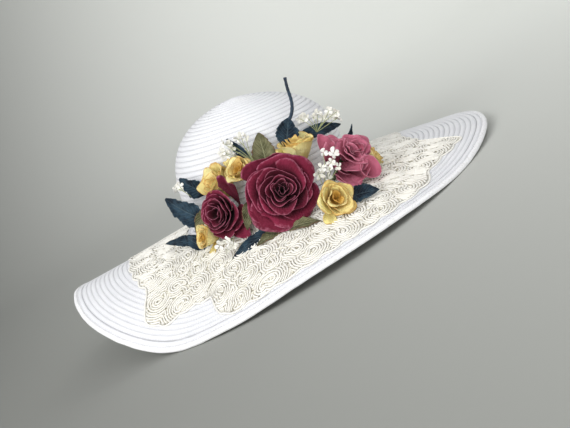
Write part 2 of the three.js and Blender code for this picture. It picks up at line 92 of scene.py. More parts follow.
def periodic(values: tuple[float, ...], turn: Array) -> Array:
    """Smooth closed curve through values that are spaced evenly round the hat.

    Args:
        values: One value for each even step of turn.
        turn: Turns to read, in degrees.

    Returns:
        The value at each turn.
    """
    table = np.asarray(values, float)
    count = len(table)
    place = np.mod(np.asarray(turn, float), 360) / (360 / count)
    i = np.floor(place).astype(int)
    f = place - i
    a, b, c, d = (table[(i + shift) % count] for shift in (-1, 0, 1, 2))
    square = 2 * a - 5 * b + 4 * c - d
    cube = 3 * b - a - 3 * c + d
    return 0.5 * (2 * b + (c - a) * f + square * f**2 + cube * f**3)


def wander(turn: Array, seed: int, waves: tuple[int, int]) -> Array:
    """A slow uneven wave round the hat, between about -1 and 1.

    Args:
        turn: Turns to read, in degrees.
        seed: Picks one wave out of many.
        waves: Fewest and most swings in one round.

    Returns:
        The height of the wave at each turn.
    """
    rng = np.random.default_rng(seed)
    total = np.zeros_like(np.asarray(turn, float))
    for swings in range(waves[0], waves[1] + 1):
        total = total + rng.normal() * np.sin(np.radians(turn) * swings + rng.uniform(0, 2 * math.pi))
    return total / math.sqrt(waves[1] - waves[0] + 1)


def even_turns(count: int) -> Array:
    """Turns round the hat in even steps, in degrees."""
    return np.arange(count) * 360 / count


@dataclass(frozen=True)
class HatShape:
    """The surfaces of the crown and the brim, and the hat's place on the floor."""

    crown_half_width: float = 88.0
    crown_half_length: float = 100.0
    crown_height: float = 120.5
    crown_side_fullness: float = 3.8
    crown_top_fullness: float = 1.7
    crown_lean: float = 6.5
    crown_slope: float = 9.5
    brim_width: float = 160.0
    brim_curve: float = 1.4
    brim_slack: float = 1.05
    brim_end: float = 0.93
    hem_depth: float = 3.5
    rest_pitch: float = 7.8
    rest_roll: float = -1.85
    edge_drops: tuple[float, ...] = (17, 18, 28.5, 32, 42.5, 63, 73, 38.5, 12, 28, 51, 54, 53, 52, 39, 26)
    hem_corners: tuple[Pair, ...] = (
        (0.9325, 0.4), (0.975, 0.9), (1.0, -0.9), (0.998, -3.5), (0.98, -2.6), (0.9325, -1.8))
    hem_step: int = 6
    profile_steps: int = 721
    flat_rounds: int = 8

    def turned(self) -> Matrix:
        """How the hat leans when it stands on its hem."""
        pitch = Matrix.Rotation(math.radians(self.rest_pitch), 4, "X")
        return pitch @ Matrix.Rotation(math.radians(self.rest_roll), 4, "Y")

    def placed(self) -> Matrix:
        """The hat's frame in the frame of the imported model, found from the hem's packed box.

        Returns:
            A matrix that takes metres in the hat's frame to metres in the model's.
        """
        turns = np.arange(0, 360, self.hem_step)
        reach, lift = np.array(self.hem_corners).T
        corners = self.brim(turns[:, None], reach[None, :], lift[None, :]).reshape(-1, 3) * MM
        leaning = corners @ np.array(self.turned().to_3x3()).T
        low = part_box("edge_binding")[0]
        return Matrix.Translation(low - Vector(leaning.min(0))) @ self.turned()

    def to_part(self, points: Array) -> Array:
        """Points of the hat's frame, in millimetres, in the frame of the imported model, in metres."""
        matrix = np.array(self.placed())
        return points * MM @ matrix[:3, :3].T + matrix[:3, 3]

    def mean_radius(self) -> float:
        """The crown foot's radius between its half-width and its half-length."""
        return (self.crown_half_width + self.crown_half_length) / 2

    def brim(self, turn: Array, reach: Array, lift: Array) -> Array:
        """Points over the brim.

        Args:
            turn: Turns round the hat.
            reach: Shares of the way from the crown's foot to the edge.
            lift: Heights above the braid's top face.

        Returns:
            Points in the hat's frame, with x, y and z on the last axis.
        """
        turn, reach, lift = np.broadcast_arrays(turn, reach, lift)
        a = np.radians(turn)
        drop = periodic(self.edge_drops, turn)
        fall = drop - self.hem_depth
        width = np.sqrt(self.brim_width**2 - (self.brim_slack * drop) ** 2)
        out = np.maximum(reach, 0.0)
        slope = np.arctan(fall * self.brim_curve * out ** (self.brim_curve - 1) / width)
        along = width * reach + lift * np.sin(slope)
        x = -np.sin(a) * (self.crown_half_width + along)
        y = -np.cos(a) * (self.crown_half_length + along)
        return np.stack((x, y, lift * np.cos(slope) - fall * out**self.brim_curve), axis=-1)

    def flat(self, turn: Array, reach: Array) -> Array:
        """Points of the brim unrolled into a flat ring, which keeps their distances nearly true.

        Args:
            turn: Turns round the hat.
            reach: Shares of the way from the crown's foot to the edge.

        Returns:
            Flat x and y on the last axis.
        """
        a = np.radians(turn)
        along = self.brim_width * reach
        return np.stack((-np.sin(a) * (self.crown_half_width + along),
                         -np.cos(a) * (self.crown_half_length + along)), axis=-1)

    def unflat(self, points: Array) -> tuple[Array, Array]:
        """Turn and reach of points in the flat ring.

        Args:
            points: Rows of flat x and y.

        Returns:
            The turn and the reach of each point.
        """
        x, y = points[..., 0], points[..., 1]
        along = np.hypot(x, y) - self.mean_radius()
        for _ in range(self.flat_rounds):
            wide = self.crown_half_width + along
            long = self.crown_half_length + along
            miss = (x / wide) ** 2 + (y / long) ** 2 - 1
            along = along + miss / (2 * x**2 / wide**3 + 2 * y**2 / long**3)
        turn = np.degrees(np.arctan2(-x / (self.crown_half_width + along),
                                     -y / (self.crown_half_length + along)))
        return np.mod(turn, 360), along / self.brim_width

    def crown_profile(self) -> tuple[Array, Array, Array]:
        """The crown's side from its foot to its top.

        Returns:
            Length along the side, radius towards the front, and height, at many even steps of angle.
        """
        rise = np.radians(np.linspace(0, 90, self.profile_steps))
        radius = self.crown_half_length * np.cos(rise).clip(0, 1) ** (2 / self.crown_top_fullness)
        height = self.crown_height * np.sin(rise) ** (2 / self.crown_side_fullness)
        steps = np.hypot(np.diff(radius), np.diff(height))
        return np.concatenate(([0], np.cumsum(steps))), radius, height

    def crown(self, turn: Array, arc: Array, lift: Array) -> Array:
        """Points over the crown.

        Args:
            turn: Turns round the hat.
            arc: Lengths up the crown's side from its foot.
            lift: Heights above the braid's outer face.

        Returns:
            Points in the hat's frame, with x, y and z on the last axis.
        """
        arcs, radius, height = self.crown_profile()
        step = 1.0
        r = np.interp(arc, arcs, radius)
        z = np.interp(arc, arcs, height)
        dr = np.interp(arc + step, arcs, radius) - np.interp(arc - step, arcs, radius)
        dz = np.interp(arc + step, arcs, height) - np.interp(arc - step, arcs, height)
        length = np.hypot(dr, dz)
        r = np.maximum(r + lift * dz / length, 0.0)
        z = z - lift * dr / length
        a = np.radians(turn)
        wide = self.crown_half_width / self.crown_half_length
        turned_r, turned_z, a = np.broadcast_arrays(r, z, a)
        upright = np.stack((-np.sin(a) * wide * turned_r, -np.cos(a) * turned_r, turned_z), axis=-1)
        return self.leaned(upright)

    def leaned(self, points: Array) -> Array:
        """Leans the crown and slopes its top.

        Args:
            points: Points of an upright crown.

        Returns:
            The moved points.
        """
        x, y, z = np.moveaxis(np.asarray(points, float), -1, 0)
        up = z / self.crown_height
        slope = self.crown_slope * up * y / self.crown_half_length
        return np.stack((x, y - self.crown_lean * up, z + slope), axis=-1)


HAT = HatShape()


def grid_faces(rows: int, columns: int, wrap_rows: bool = False, wrap_columns: bool = False) -> Array:
    """Four-sided faces between the points of a grid.

    Args:
        rows: Points down the grid.
        columns: Points across it.
        wrap_rows: Joins the last row to the first.
        wrap_columns: Joins the last column to the first.

    Returns:
        Rows of four point numbers.
    """
    i = np.arange(rows if wrap_rows else rows - 1)[:, None]
    j = np.arange(columns if wrap_columns else columns - 1)[None, :]
    below, beside = (i + 1) % rows, (j + 1) % columns
    corners = (i * columns + j, i * columns + beside, below * columns + beside, below * columns + j)
    return np.stack(np.broadcast_arrays(*corners), axis=-1).reshape(-1, 4)


def fan(start: int, count: int, centre: int) -> Array:
    """Three-sided faces from each step of a ring of points to a point in its middle."""
    ring = start + np.arange(count)
    return np.stack((ring, np.roll(ring, -1), np.full(count, centre)), axis=-1)


def unit(vectors: Array) -> Array:
    """Vectors scaled to a length of one."""
    return vectors / np.maximum(np.linalg.norm(vectors, axis=-1, keepdims=True), 1e-9)


# A tube's sides are turned from this direction, or from its mirror where the tube starts steeply
TUBE_GUIDE = (0.31, 0.17, 0.93)
STEEP = 0.9


def looking(lean: float, turn: float) -> Array:
    """The way out from the trimmed side, leaned upwards and turned to the back."""
    up, aside = math.radians(lean), math.radians(turn)
    return np.array((-math.cos(up) * math.cos(aside), math.cos(up) * math.sin(aside), math.sin(up)))


class Patchwork:
    """Points, faces and painted values of one mesh, gathered patch by patch in the hat's frame."""

    def __init__(self) -> None:
        """Starts with nothing."""
        self.points: list[Array] = []
        self.faces: list[Array] = []
        self.corner_uv: list[Array] = []
        self.slots: list[Array] = []
        self.values: dict[str, list[Array]] = {}
        self.count = 0

    def add(self, points: Array, faces: Array, uv: Array | None = None,
            slot: Array | int = 0, **values: Array | float) -> None:
        """Adds one patch.

        Args:
            points: Rows of x, y and z in millimetres.
            faces: Rows of three or four point numbers within this patch.
            uv: Two values for each corner of each face, for patterns that start anew in each row.
            slot: Number of the material, or one number for each face.
            values: One value for each point, or one for all, painted under the given name.
        """
        flat = points.reshape(-1, 3)
        for name in values:
            self.values.setdefault(name, [np.zeros(self.count)] if self.count else [])
        for name, stored in self.values.items():
            stored.append(np.broadcast_to(np.ravel(values.get(name, 0.0)), len(flat)))
        self.points.append(flat)
        self.faces.append(faces + self.count)
        self.corner_uv.append(np.zeros((faces.size, 2)) if uv is None else uv.reshape(-1, 2))
        self.slots.append(np.broadcast_to(slot, len(faces)))
        self.count += len(flat)

    def add_shell(self, grid: Array, thickness: float, slot: int = 0, **values: Array) -> None:
        """Adds a thin closed sheet over a grid of points.

        Args:
            grid: Points of the sheet's middle, as rows of columns.
            thickness: The sheet's wall.
            slot: Number of the material.
            values: One value for each grid point, painted under the given name on both faces.
        """
        rows, columns = grid.shape[:2]
        normal = unit(np.cross(np.gradient(grid, axis=1), np.gradient(grid, axis=0)))
        top = grid + normal * thickness / 2
        bottom = grid - normal * thickness / 2
        face = grid_faces(rows, columns)
        size = rows * columns
        edge = np.concatenate((np.arange(columns), np.arange(1, rows) * columns + columns - 1,
                               (rows - 1) * columns + np.arange(columns - 2, -1, -1),
                               np.arange(rows - 2, 0, -1) * columns))
        following = np.roll(edge, -1)
        border = np.stack((edge, edge + size, following + size, following), axis=-1)
        painted = {name: np.concatenate((np.ravel(v), np.ravel(v))) for name, v in values.items()}
        points = np.concatenate((top.reshape(-1, 3), bottom.reshape(-1, 3)))
        self.add(points, np.concatenate((face, face[:, ::-1] + size, border)), slot=slot, **painted)

    def add_tube(self, path: Array, radius: Array | float, sides: int, slot: int = 0,
                 **values: Array | float) -> None:
        """Adds a round tube with closed ends along a path.

        Args:
            path: Rows of x, y and z.
            radius: The tube's radius, or one for each point of the path.
            sides: Faces round the tube.
            slot: Number of the material.
            values: One value for each point of the path, or one for all, painted under the given name.
        """
        along = unit(np.gradient(path, axis=0))
        guide = np.array(TUBE_GUIDE if abs(along[0, 2]) < STEEP else TUBE_GUIDE[::-1])
        side = unit(np.cross(along, guide))
        up = np.cross(side, along)
        turn = np.arange(sides) * 2 * math.pi / sides
        reach = np.broadcast_to(np.asarray(radius, float), len(path))[:, None, None]
        ring = side[:, None] * np.cos(turn)[None, :, None] + up[:, None] * np.sin(turn)[None, :, None]
        points = np.concatenate(((path[:, None] + ring * reach).reshape(-1, 3), path[:1], path[-1:]))
        rows = len(path)
        start = fan(0, sides, rows * sides)
        end = fan((rows - 1) * sides, sides, rows * sides + 1)[:, (1, 0, 2)]
        painted = {}
        for name, value in values.items():
            at = np.broadcast_to(np.asarray(value, float), rows)
            painted[name] = np.concatenate((np.repeat(at, sides), at[:1], at[-1:]))
        first = self.count
        self.add(points, grid_faces(rows, sides, wrap_columns=True), slot=slot, **painted)
        for cap in (start, end):
            self.add_faces(cap + first, slot)

    def add_faces(self, faces: Array, slot: int = 0) -> None:
        """Adds faces between points that are already there.

        Args:
            faces: Rows of point numbers within the whole mesh.
            slot: Number of the material.
        """
        self.faces.append(faces)
        self.corner_uv.append(np.zeros((faces.size, 2)))
        self.slots.append(np.full(len(faces), slot))

    def to_object(self, name: str, materials: list[Material], replaced: list[str],
                  braid: bool = False) -> bpy.types.Object:
        """Makes the piece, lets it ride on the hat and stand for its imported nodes.

        Args:
            name: Name of the piece.
            materials: The piece's materials, by slot number.
            replaced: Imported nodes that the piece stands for.
            braid: Keeps the corner values as the map named Braid.

        Returns:
            The new object.
        """
        mesh = bpy.data.meshes.new(name)
        points = HAT.to_part(np.concatenate(self.points))
        mesh.vertices.add(len(points))
        mesh.vertices.foreach_set("co", points.ravel())
        sizes = np.concatenate([np.full(len(f), f.shape[1]) for f in self.faces])
        mesh.loops.add(int(sizes.sum()))
        corners = np.concatenate([f.ravel() for f in self.faces])
        mesh.loops.foreach_set("vertex_index", corners.astype(np.int32))
        mesh.polygons.add(len(sizes))
        mesh.polygons.foreach_set("loop_start", (np.cumsum(sizes) - sizes).astype(np.int32))
        mesh.polygons.foreach_set("material_index", np.concatenate(self.slots).astype(np.int32))
        mesh.polygons.foreach_set("use_smooth", np.ones(len(sizes), bool))
        if braid:
            layer = mesh.uv_layers.new(name="Braid")
            layer.data.foreach_set("uv", np.concatenate(self.corner_uv).ravel())
        for value, stored in self.values.items():
            attribute = mesh.attributes.new(value, "FLOAT", "POINT")
            attribute.data.foreach_set("value", np.concatenate(stored).astype(np.float32))
        mesh.update(calc_edges=True)
        made = bmesh.new()
        made.from_mesh(mesh)
        bmesh.ops.recalc_face_normals(made, faces=made.faces)
        made.to_mesh(mesh)
        made.free()
        for material in materials:
            mesh.materials.append(material)
        piece = bpy.data.objects.new(name, mesh)
        bpy.context.scene.collection.objects.link(piece)
        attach(piece, BODY)
        if replaced:
            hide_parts(*replaced)
        log.info("%s: %d triangles", name, int((sizes - 2).sum()))
        return piece


class Graph:
    """Adds and joins the nodes of one shader tree."""

    def __init__(self, tree: NodeTree) -> None:
        """Works on the given tree."""
        self.tree = tree

    def add(self, kind: str, feeds: dict | None = None, **settings: object) -> Node:
        """Adds a node.

        Args:
            kind: Blender's name of the node.
            feeds: Values or sockets for the node's inputs, by name or number.
            settings: The node's own settings.

        Returns:
            The new node.
        """
        node = self.tree.nodes.new(kind)
        for name, value in settings.items():
            setattr(node, name, value)
        self.feed(node, feeds or {})
        return node

    def feed(self, node: Node, feeds: dict) -> None:
        """Links sockets to a node's inputs, or sets the inputs to values.

        Args:
            node: The node that takes them.
            feeds: Values or sockets, by the input's name or number.
        """
        for name, value in feeds.items():
            if isinstance(value, Socket):
                self.tree.links.new(value, node.inputs[name])
            else:
                node.inputs[name].default_value = value

    def math(self, operation: str, first: object, second: object = 0.0) -> Socket:
        """The result of a sum on one or two values."""
        return self.add("ShaderNodeMath", {0: first, 1: second}, operation=operation).outputs[0]

    def plus(self, first: object, second: object) -> Socket:
        """The first value with the second added."""
        return self.math("ADD", first, second)

    def minus(self, first: object, second: object) -> Socket:
        """The first value less the second."""
        return self.math("SUBTRACT", first, second)

    def times(self, first: object, second: object) -> Socket:
        """The first value times the second."""
        return self.math("MULTIPLY", first, second)

    def unsigned(self, value: object) -> Socket:
        """A value without its sign."""
        return self.math("ABSOLUTE", value)

    def swing(self, value: object) -> Socket:
        """A wave that goes from 0 to a half and back for each whole step of a value."""
        return self.math("PINGPONG", value, 0.5)

    def band(self, value: object, start: float, end: float) -> Socket:
        """A mask that rises softly from 0 at start to 1 at end."""
        feeds = {"Value": value, "From Min": start, "From Max": end}
        return self.add("ShaderNodeMapRange", feeds, interpolation_type="SMOOTHSTEP").outputs["Result"]

    def blend(self, mask: object, first: object, second: object) -> Socket:
        """The first colour where the mask is 0 and the second where it is 1."""
        return self.add("ShaderNodeMix", {0: mask, 6: first, 7: second}, data_type="RGBA").outputs[2]

    def tint(self, colour: object, mask: object, weight: float, tone: object) -> Socket:
        """A colour with some of a tone over it where the mask is 1."""
        return self.blend(self.times(mask, weight), colour, tone)

    def noise(self, place: object, scale: float, detail: float = 2.0) -> Socket:
        """Soft noise between 0 and 1, with features of about one over the scale."""
        feeds = {"Vector": place, "Scale": scale, "Detail": detail}
        return self.add("ShaderNodeTexNoise", feeds).outputs[0]

    def value(self, name: str) -> Socket:
        """A value painted on the mesh."""
        return self.add("ShaderNodeAttribute", attribute_name=name).outputs["Fac"]

    def place(self) -> Socket:
        """Where a point is on the object, in metres."""
        return self.add("ShaderNodeTexCoord").outputs["Object"]

    def braid_rows(self) -> Socket:
        """Plaits along a row of braid in X, and rows in Y."""
        return self.add("ShaderNodeUVMap", uv_map="Braid").outputs[0]

    def effect(self, tree: NodeTree, feeds: dict) -> Node:
        """Places a shared effect with its own values."""
        return self.add("ShaderNodeGroup", feeds, node_tree=tree)


def start_group(name: str, inputs: dict[str, object], outputs: tuple[str, ...]
                ) -> tuple[Graph, dict, Node]:
    """Starts a shader group with named inputs and outputs.

    Args:
        name: Name of the group.
        inputs: Default of each input: a number, or None for a vector.
        outputs: Names of the outputs, which are all numbers.

    Returns:
        The group's graph, its input sockets by name, and its output node.
    """
    tree = bpy.data.node_groups.new(name, "ShaderNodeTree")
    for label, default in inputs.items():
        kind = "NodeSocketVector" if default is None else "NodeSocketFloat"
        socket = tree.interface.new_socket(name=label, in_out="INPUT", socket_type=kind)
        if default is not None:
            socket.default_value = default
    for label in outputs:
        tree.interface.new_socket(name=label, in_out="OUTPUT", socket_type="NodeSocketFloat")
    graph = Graph(tree)
    given = graph.add("NodeGroupInput")
    return graph, {label: given.outputs[label] for label in inputs}, graph.add("NodeGroupOutput")


@dataclass(frozen=True)
class BraidEffect:
    """Plaits, grooves and stitches of rows of braid. Places across are shares of a row's width."""

    dash: float = 3.0
    shaded_groove: Pair = (0.38, 0.49)
    groove_depth: float = 0.8
    stitch_line: float = 0.8
    stitch_side: Pair = (0.02, 0.075)
    stitch_end: Pair = (0.2, 0.3)
    stitch_depth: float = 0.7
    plait_slant: float = 1.6
    strands: float = 5.0
    strand_height: float = 0.7
    pit_shade: Pair = (0.06, 0.34)
    tone_step: float = 0.06
    tone_scale: float = 1.7

    def build(self) -> NodeTree:
        """Builds the group.

        Returns:
            A group that reads plaits along the row in X and rows in Y.
        """
        graph, given, result = start_group("Braid rows", {"Rows": None, "Dash": self.dash},
                                           ("Shaded groove", "Stitch", "Height", "Tone", "Pit shade"))
        split = graph.add("ShaderNodeSeparateXYZ", {0: given["Rows"]})
        along, across = split.outputs[0], split.outputs[1]
        share = graph.math("FRACT", across)
        row = graph.math("FLOOR", across)
        middle = graph.unsigned(graph.minus(share, 0.5))
        # The groove between rows: it sinks the relief, and the straw is painted grey there as painted shade
        shaded_groove = graph.band(middle, *self.shaded_groove)
        dash = graph.swing(graph.math("DIVIDE", along, given["Dash"]))
        line = graph.unsigned(graph.minus(share, self.stitch_line))
        near = graph.minus(1.0, graph.band(line, *self.stitch_side))
        stitch = graph.times(near, graph.band(dash, *self.stitch_end))
        plait = graph.swing(graph.plus(along, graph.times(middle, self.plait_slant)))
        strand = graph.swing(graph.times(share, self.strands))
        height = graph.plus(plait, graph.times(strand, self.strand_height))
        # The low places between plaits, where the straw is painted darker as painted shade
        pit_shade = graph.minus(1.0, graph.band(height, *self.pit_shade))
        height = graph.minus(height, graph.times(shaded_groove, self.groove_depth))
        height = graph.minus(height, graph.times(stitch, self.stitch_depth))
        spot = graph.add("ShaderNodeCombineXYZ", {0: graph.times(along, self.tone_step), 1: row})
        tone = graph.noise(spot.outputs[0], self.tone_scale, 1.0)
        graph.feed(result, {"Shaded groove": shaded_groove, "Stitch": stitch, "Height": height, "Tone": tone, "Pit shade": pit_shade})
        return graph.tree


@dataclass(frozen=True)
class GrainEffect:
    """Fine fibres, soft creases and slow mottling of cloth and straw."""

    fibre: float = 1800.0
    fibre_height: float = 0.35
    crease_depth: float = 2.2
    mottle_band: Pair = (0.35, 0.65)
    fleck_band: Pair = (0.5, 0.68)

    def build(self) -> NodeTree:
        """Builds the group.

        Returns:
            A group that reads a place in metres.
        """
        graph, given, result = start_group(
            "Cloth grain", {"Place": None, "Fibre": self.fibre, "Crease": 0.0, "Mottle": 0.0},
            ("Height", "Mottle", "Fleck"))
        details = {"Fibre": 2.0, "Crease": 4.0, "Mottle": 3.0}
        fibre, crease, mottle = (graph.noise(given["Place"], given[label], detail)
                                 for label, detail in details.items())
        ridge = graph.unsigned(graph.minus(crease, 0.5))
        height = graph.minus(graph.times(fibre, self.fibre_height), graph.times(ridge, self.crease_depth))
        graph.feed(result, {"Height": height, "Mottle": graph.band(mottle, *self.mottle_band),
                            "Fleck": graph.band(crease, *self.fleck_band)})
        return graph.tree


@dataclass(frozen=True)
class EdgeEffect:
    """The rim of a petal or leaf, worn, coloured or given a painted highlight, with an uneven inner border.
    """

    noise_scale: float = 260.0

    def build(self) -> NodeTree:
        """Builds the group.

        Returns:
            A group that reads how near the rim is, from 0 to 1.
        """
        graph, given, result = start_group(
            "Worn edge and highlight",
            {"Place": None, "Nearness": 0.0, "Start": 0.0, "End": 1.0, "Rough": 0.0}, ("Mask",))
        uneven = graph.minus(graph.noise(given["Place"], self.noise_scale, 3.0), 0.5)
        moved = graph.plus(given["Nearness"], graph.times(uneven, given["Rough"]))
        span = graph.minus(given["End"], given["Start"])
        share = graph.math("DIVIDE", graph.minus(moved, given["Start"]), span)
        graph.feed(result, {"Mask": graph.band(share, 0.0, 1.0)})
        return graph.tree


@dataclass(frozen=True)
class VeinEffect:
    """A midrib and slanted side veins."""

    rib: Pair = (0.02, 0.09)
    vein: Pair = (0.03, 0.12)
    fade: float = 0.75
    swell: float = 1.2

    def build(self) -> NodeTree:
        """Builds the group.

        Returns:
            A group that reads the share of the length and the share of the half-width.
        """
        graph, given, result = start_group(
            "Veins", {"Along": 0.0, "Side": 0.0, "Count": 0.0, "Slant": 0.0}, ("Mask", "Height"))
        out = graph.unsigned(given["Side"])
        rib = graph.minus(1.0, graph.band(out, *self.rib))
        shifted = graph.minus(given["Along"], graph.times(out, given["Slant"]))
        wave = graph.swing(graph.times(shifted, given["Count"]))
        side = graph.minus(1.0, graph.band(wave, *self.vein))
        fade = graph.minus(1.0, graph.times(out, self.fade))
        mask = graph.math("MAXIMUM", rib, graph.times(side, fade))
        graph.feed(result, {"Mask": mask, "Height": graph.minus(graph.times(wave, self.swell), mask)})
        return graph.tree


class Effects:
    """Shader groups that the finishes share, each built once."""

    def __init__(self) -> None:
        """Builds every group."""
        self.braid = BraidEffect().build()
        self.grain = GrainEffect().build()
        self.edge = EdgeEffect().build()
        self.veins = VeinEffect().build()


@dataclass(frozen=True)
class Surface:
    """How a finish takes the light, and the depth in millimetres and strength of its relief."""

    roughness: float = 0.75
    sheen: float = 0.1
    index: float = 1.5
    specular: float = 0.5
    relief: float = 0.4
    strength: float = 0.4


class Paint:
    """One material in the making, with its graph and its Principled BSDF."""

    def __init__(self, name: str, surface: Surface) -> None:
        """Starts a material.

        Args:
            name: Name of the material.
            surface: Values of the shader's own sockets.
        """
        self.material = bpy.data.materials.new(name)
        self.material.use_nodes = True
        self.surface = surface
        self.graph = Graph(self.material.node_tree)
        self.shader = self.material.node_tree.nodes["Principled BSDF"]
        self.graph.feed(self.shader, {
            "Roughness": surface.roughness, "Sheen Weight": surface.sheen, "IOR": surface.index,
            "Specular IOR Level": surface.specular})

    def finish(self, colour: object, height: object = None) -> Material:
        """Gives the shader its colour and its relief.

        Args:
            colour: Socket of the colour.
            height: Socket of the relief's height, or nothing for a smooth surface.

        Returns:
            The material.
        """
        feeds = {"Base Color": colour}
        if height is not None:
            relief = {"Strength": self.surface.strength, "Distance": self.surface.relief * MM,
                      "Height": height}
            feeds["Normal"] = self.graph.add("ShaderNodeBump", relief).outputs[0]
        self.graph.feed(self.shader, feeds)
        return self.material


@dataclass(frozen=True)
class StrawFinish:
    """Matt white braid of fine plaits, sewn row by row, with painted shade in the grooves between rows, in
    the pits between plaits and in the gaps between the lace's cords. A weight says how plainly its tone
    shows.
    """

    name: str = "straw_braid"
    surface: Surface = Surface(0.7, index=1.45, relief=0.5, strength=0.8)
    colour: Colour = srgb(250, 250, 251)
    shaded: Colour = srgb(238, 239, 243)
    thread: Colour = srgb(204, 204, 208)
    thread_weight: float = 0.55
    pit_shade: Colour = srgb(212, 213, 217)
    pit_shade_weight: float = 0.3
    shaded_groove: Colour = srgb(172, 173, 176)
    groove_shade_weight: float = 0.36
    under_lace: Colour = srgb(243, 239, 225)
    laced_weight: float = 0.95
    hole_shade: Colour = srgb(174, 168, 147)
    hole_shade_scale: float = 380.0
    hole_shade_band: Pair = (0.51, 0.57)
    dash: float = 1.6
    crease: float = 420.0
    grain_weight: float = 0.25

    def build(self, effects: Effects) -> Material:
        """Builds the material.

        Args:
            effects: The shared shader groups.

        Returns:
            The braid's material, which reads where the lace lies over it.
        """
        paint = Paint(self.name, self.surface)
        graph = paint.graph
        braid = graph.effect(effects.braid, {"Rows": graph.braid_rows(), "Dash": self.dash})
        grain = graph.effect(effects.grain, {"Place": graph.place(), "Crease": self.crease})
        colour = graph.blend(braid.outputs["Tone"], self.colour, self.shaded)
        colour = graph.tint(colour, braid.outputs["Stitch"], self.thread_weight, self.thread)
        # Painted shade in the pits between plaits
        colour = graph.tint(colour, braid.outputs["Pit shade"], self.pit_shade_weight, self.pit_shade)
        # Painted shade in the grooves between rows
        colour = graph.tint(colour, braid.outputs["Shaded groove"], self.groove_shade_weight, self.shaded_groove)
        # Painted shade: dark dashes in the gaps between the lace's cords, over the lace's ivory ground
        hole_shade = graph.band(graph.noise(graph.place(), self.hole_shade_scale, 1.0), *self.hole_shade_band)
        under = graph.blend(hole_shade, self.under_lace, self.hole_shade)
        colour = graph.tint(colour, graph.value("laced"), self.laced_weight, under)
        fine = graph.times(grain.outputs["Height"], self.grain_weight)
        return paint.finish(colour, graph.plus(braid.outputs["Height"], fine))


@dataclass(frozen=True)
class HemFinish:
    """The plain turned-down band at the brim's edge."""

    name: str = "hem_band"
    surface: Surface = Surface(0.72, index=1.45, relief=0.3, strength=0.5)
    colour: Colour = srgb(249, 249, 250)
    worn: Colour = srgb(222, 220, 214)
    worn_weight: float = 0.6
    crease: float = 520.0
    fibre: float = 2400.0
    plait_weight: float = 0.4

    def build(self, effects: Effects) -> Material:
        """Builds the material.

        Args:
            effects: The shared shader groups.

        Returns:
            The band's material.
        """
        paint = Paint(self.name, self.surface)
        graph = paint.graph
        braid = graph.effect(effects.braid, {"Rows": graph.braid_rows()})
        grain = graph.effect(effects.grain, {"Place": graph.place(), "Crease": self.crease,
                                             "Fibre": self.fibre})
        colour = graph.tint(self.colour, grain.outputs["Fleck"], self.worn_weight, self.worn)
        plaits = graph.times(braid.outputs["Height"], self.plait_weight)
        return paint.finish(colour, graph.plus(plaits, grain.outputs["Height"]))


@dataclass(frozen=True)
class CordFinish:
    """Twisted thread or cord in one colour, with painted shade at its sides and between its plies."""

    name: str
    colour: Colour
    shaded: Colour
    twist: float = 1.3
    surface: Surface = Surface(0.8, 0.15, 1.45, relief=0.4, strength=0.6)
    crease: float = 300.0
    side_shade_band: Pair = (0.45, 1.0)
    side_shade_weight: float = 0.7
    ply_shade: float = 0.5
    ply_fade: float = 2.0

    def build(self, effects: Effects) -> Material:
        """Builds the material.

        Args:
            effects: The shared shader groups.

        Returns:
            The cord's material, which reads the painted length and side.
        """
        paint = Paint(self.name, self.surface)
        graph = paint.graph
        grain = graph.effect(effects.grain, {"Place": graph.place(), "Crease": self.crease})
        side = graph.value("side")
        ply = graph.swing(graph.plus(graph.math("DIVIDE", graph.value("length"), self.twist), side))
        # Painted shade at the cord's sides and between its plies, mixed with the grain's darker flecks
        low = graph.band(graph.unsigned(side), *self.side_shade_band)
        shade_and_fleck = graph.times(graph.math("MAXIMUM", low, grain.outputs["Fleck"]), self.side_shade_weight)
        shade_and_fleck = graph.math("MAXIMUM", shade_and_fleck, graph.minus(self.ply_shade, graph.times(ply, self.ply_fade)))
        colour = graph.blend(shade_and_fleck, self.colour, self.shaded)
        return paint.finish(colour, graph.plus(ply, grain.outputs["Height"]))


class Hue(Enum):
    """Colours of the cloth flowers and leaves, and the record's slots for them."""

    WINE = "wine_petal"
    PINK = "pink_petal"
    YELLOW = "yellow_petal"
    GREEN = "green_leaf"
    NAVY = "navy_leaf"


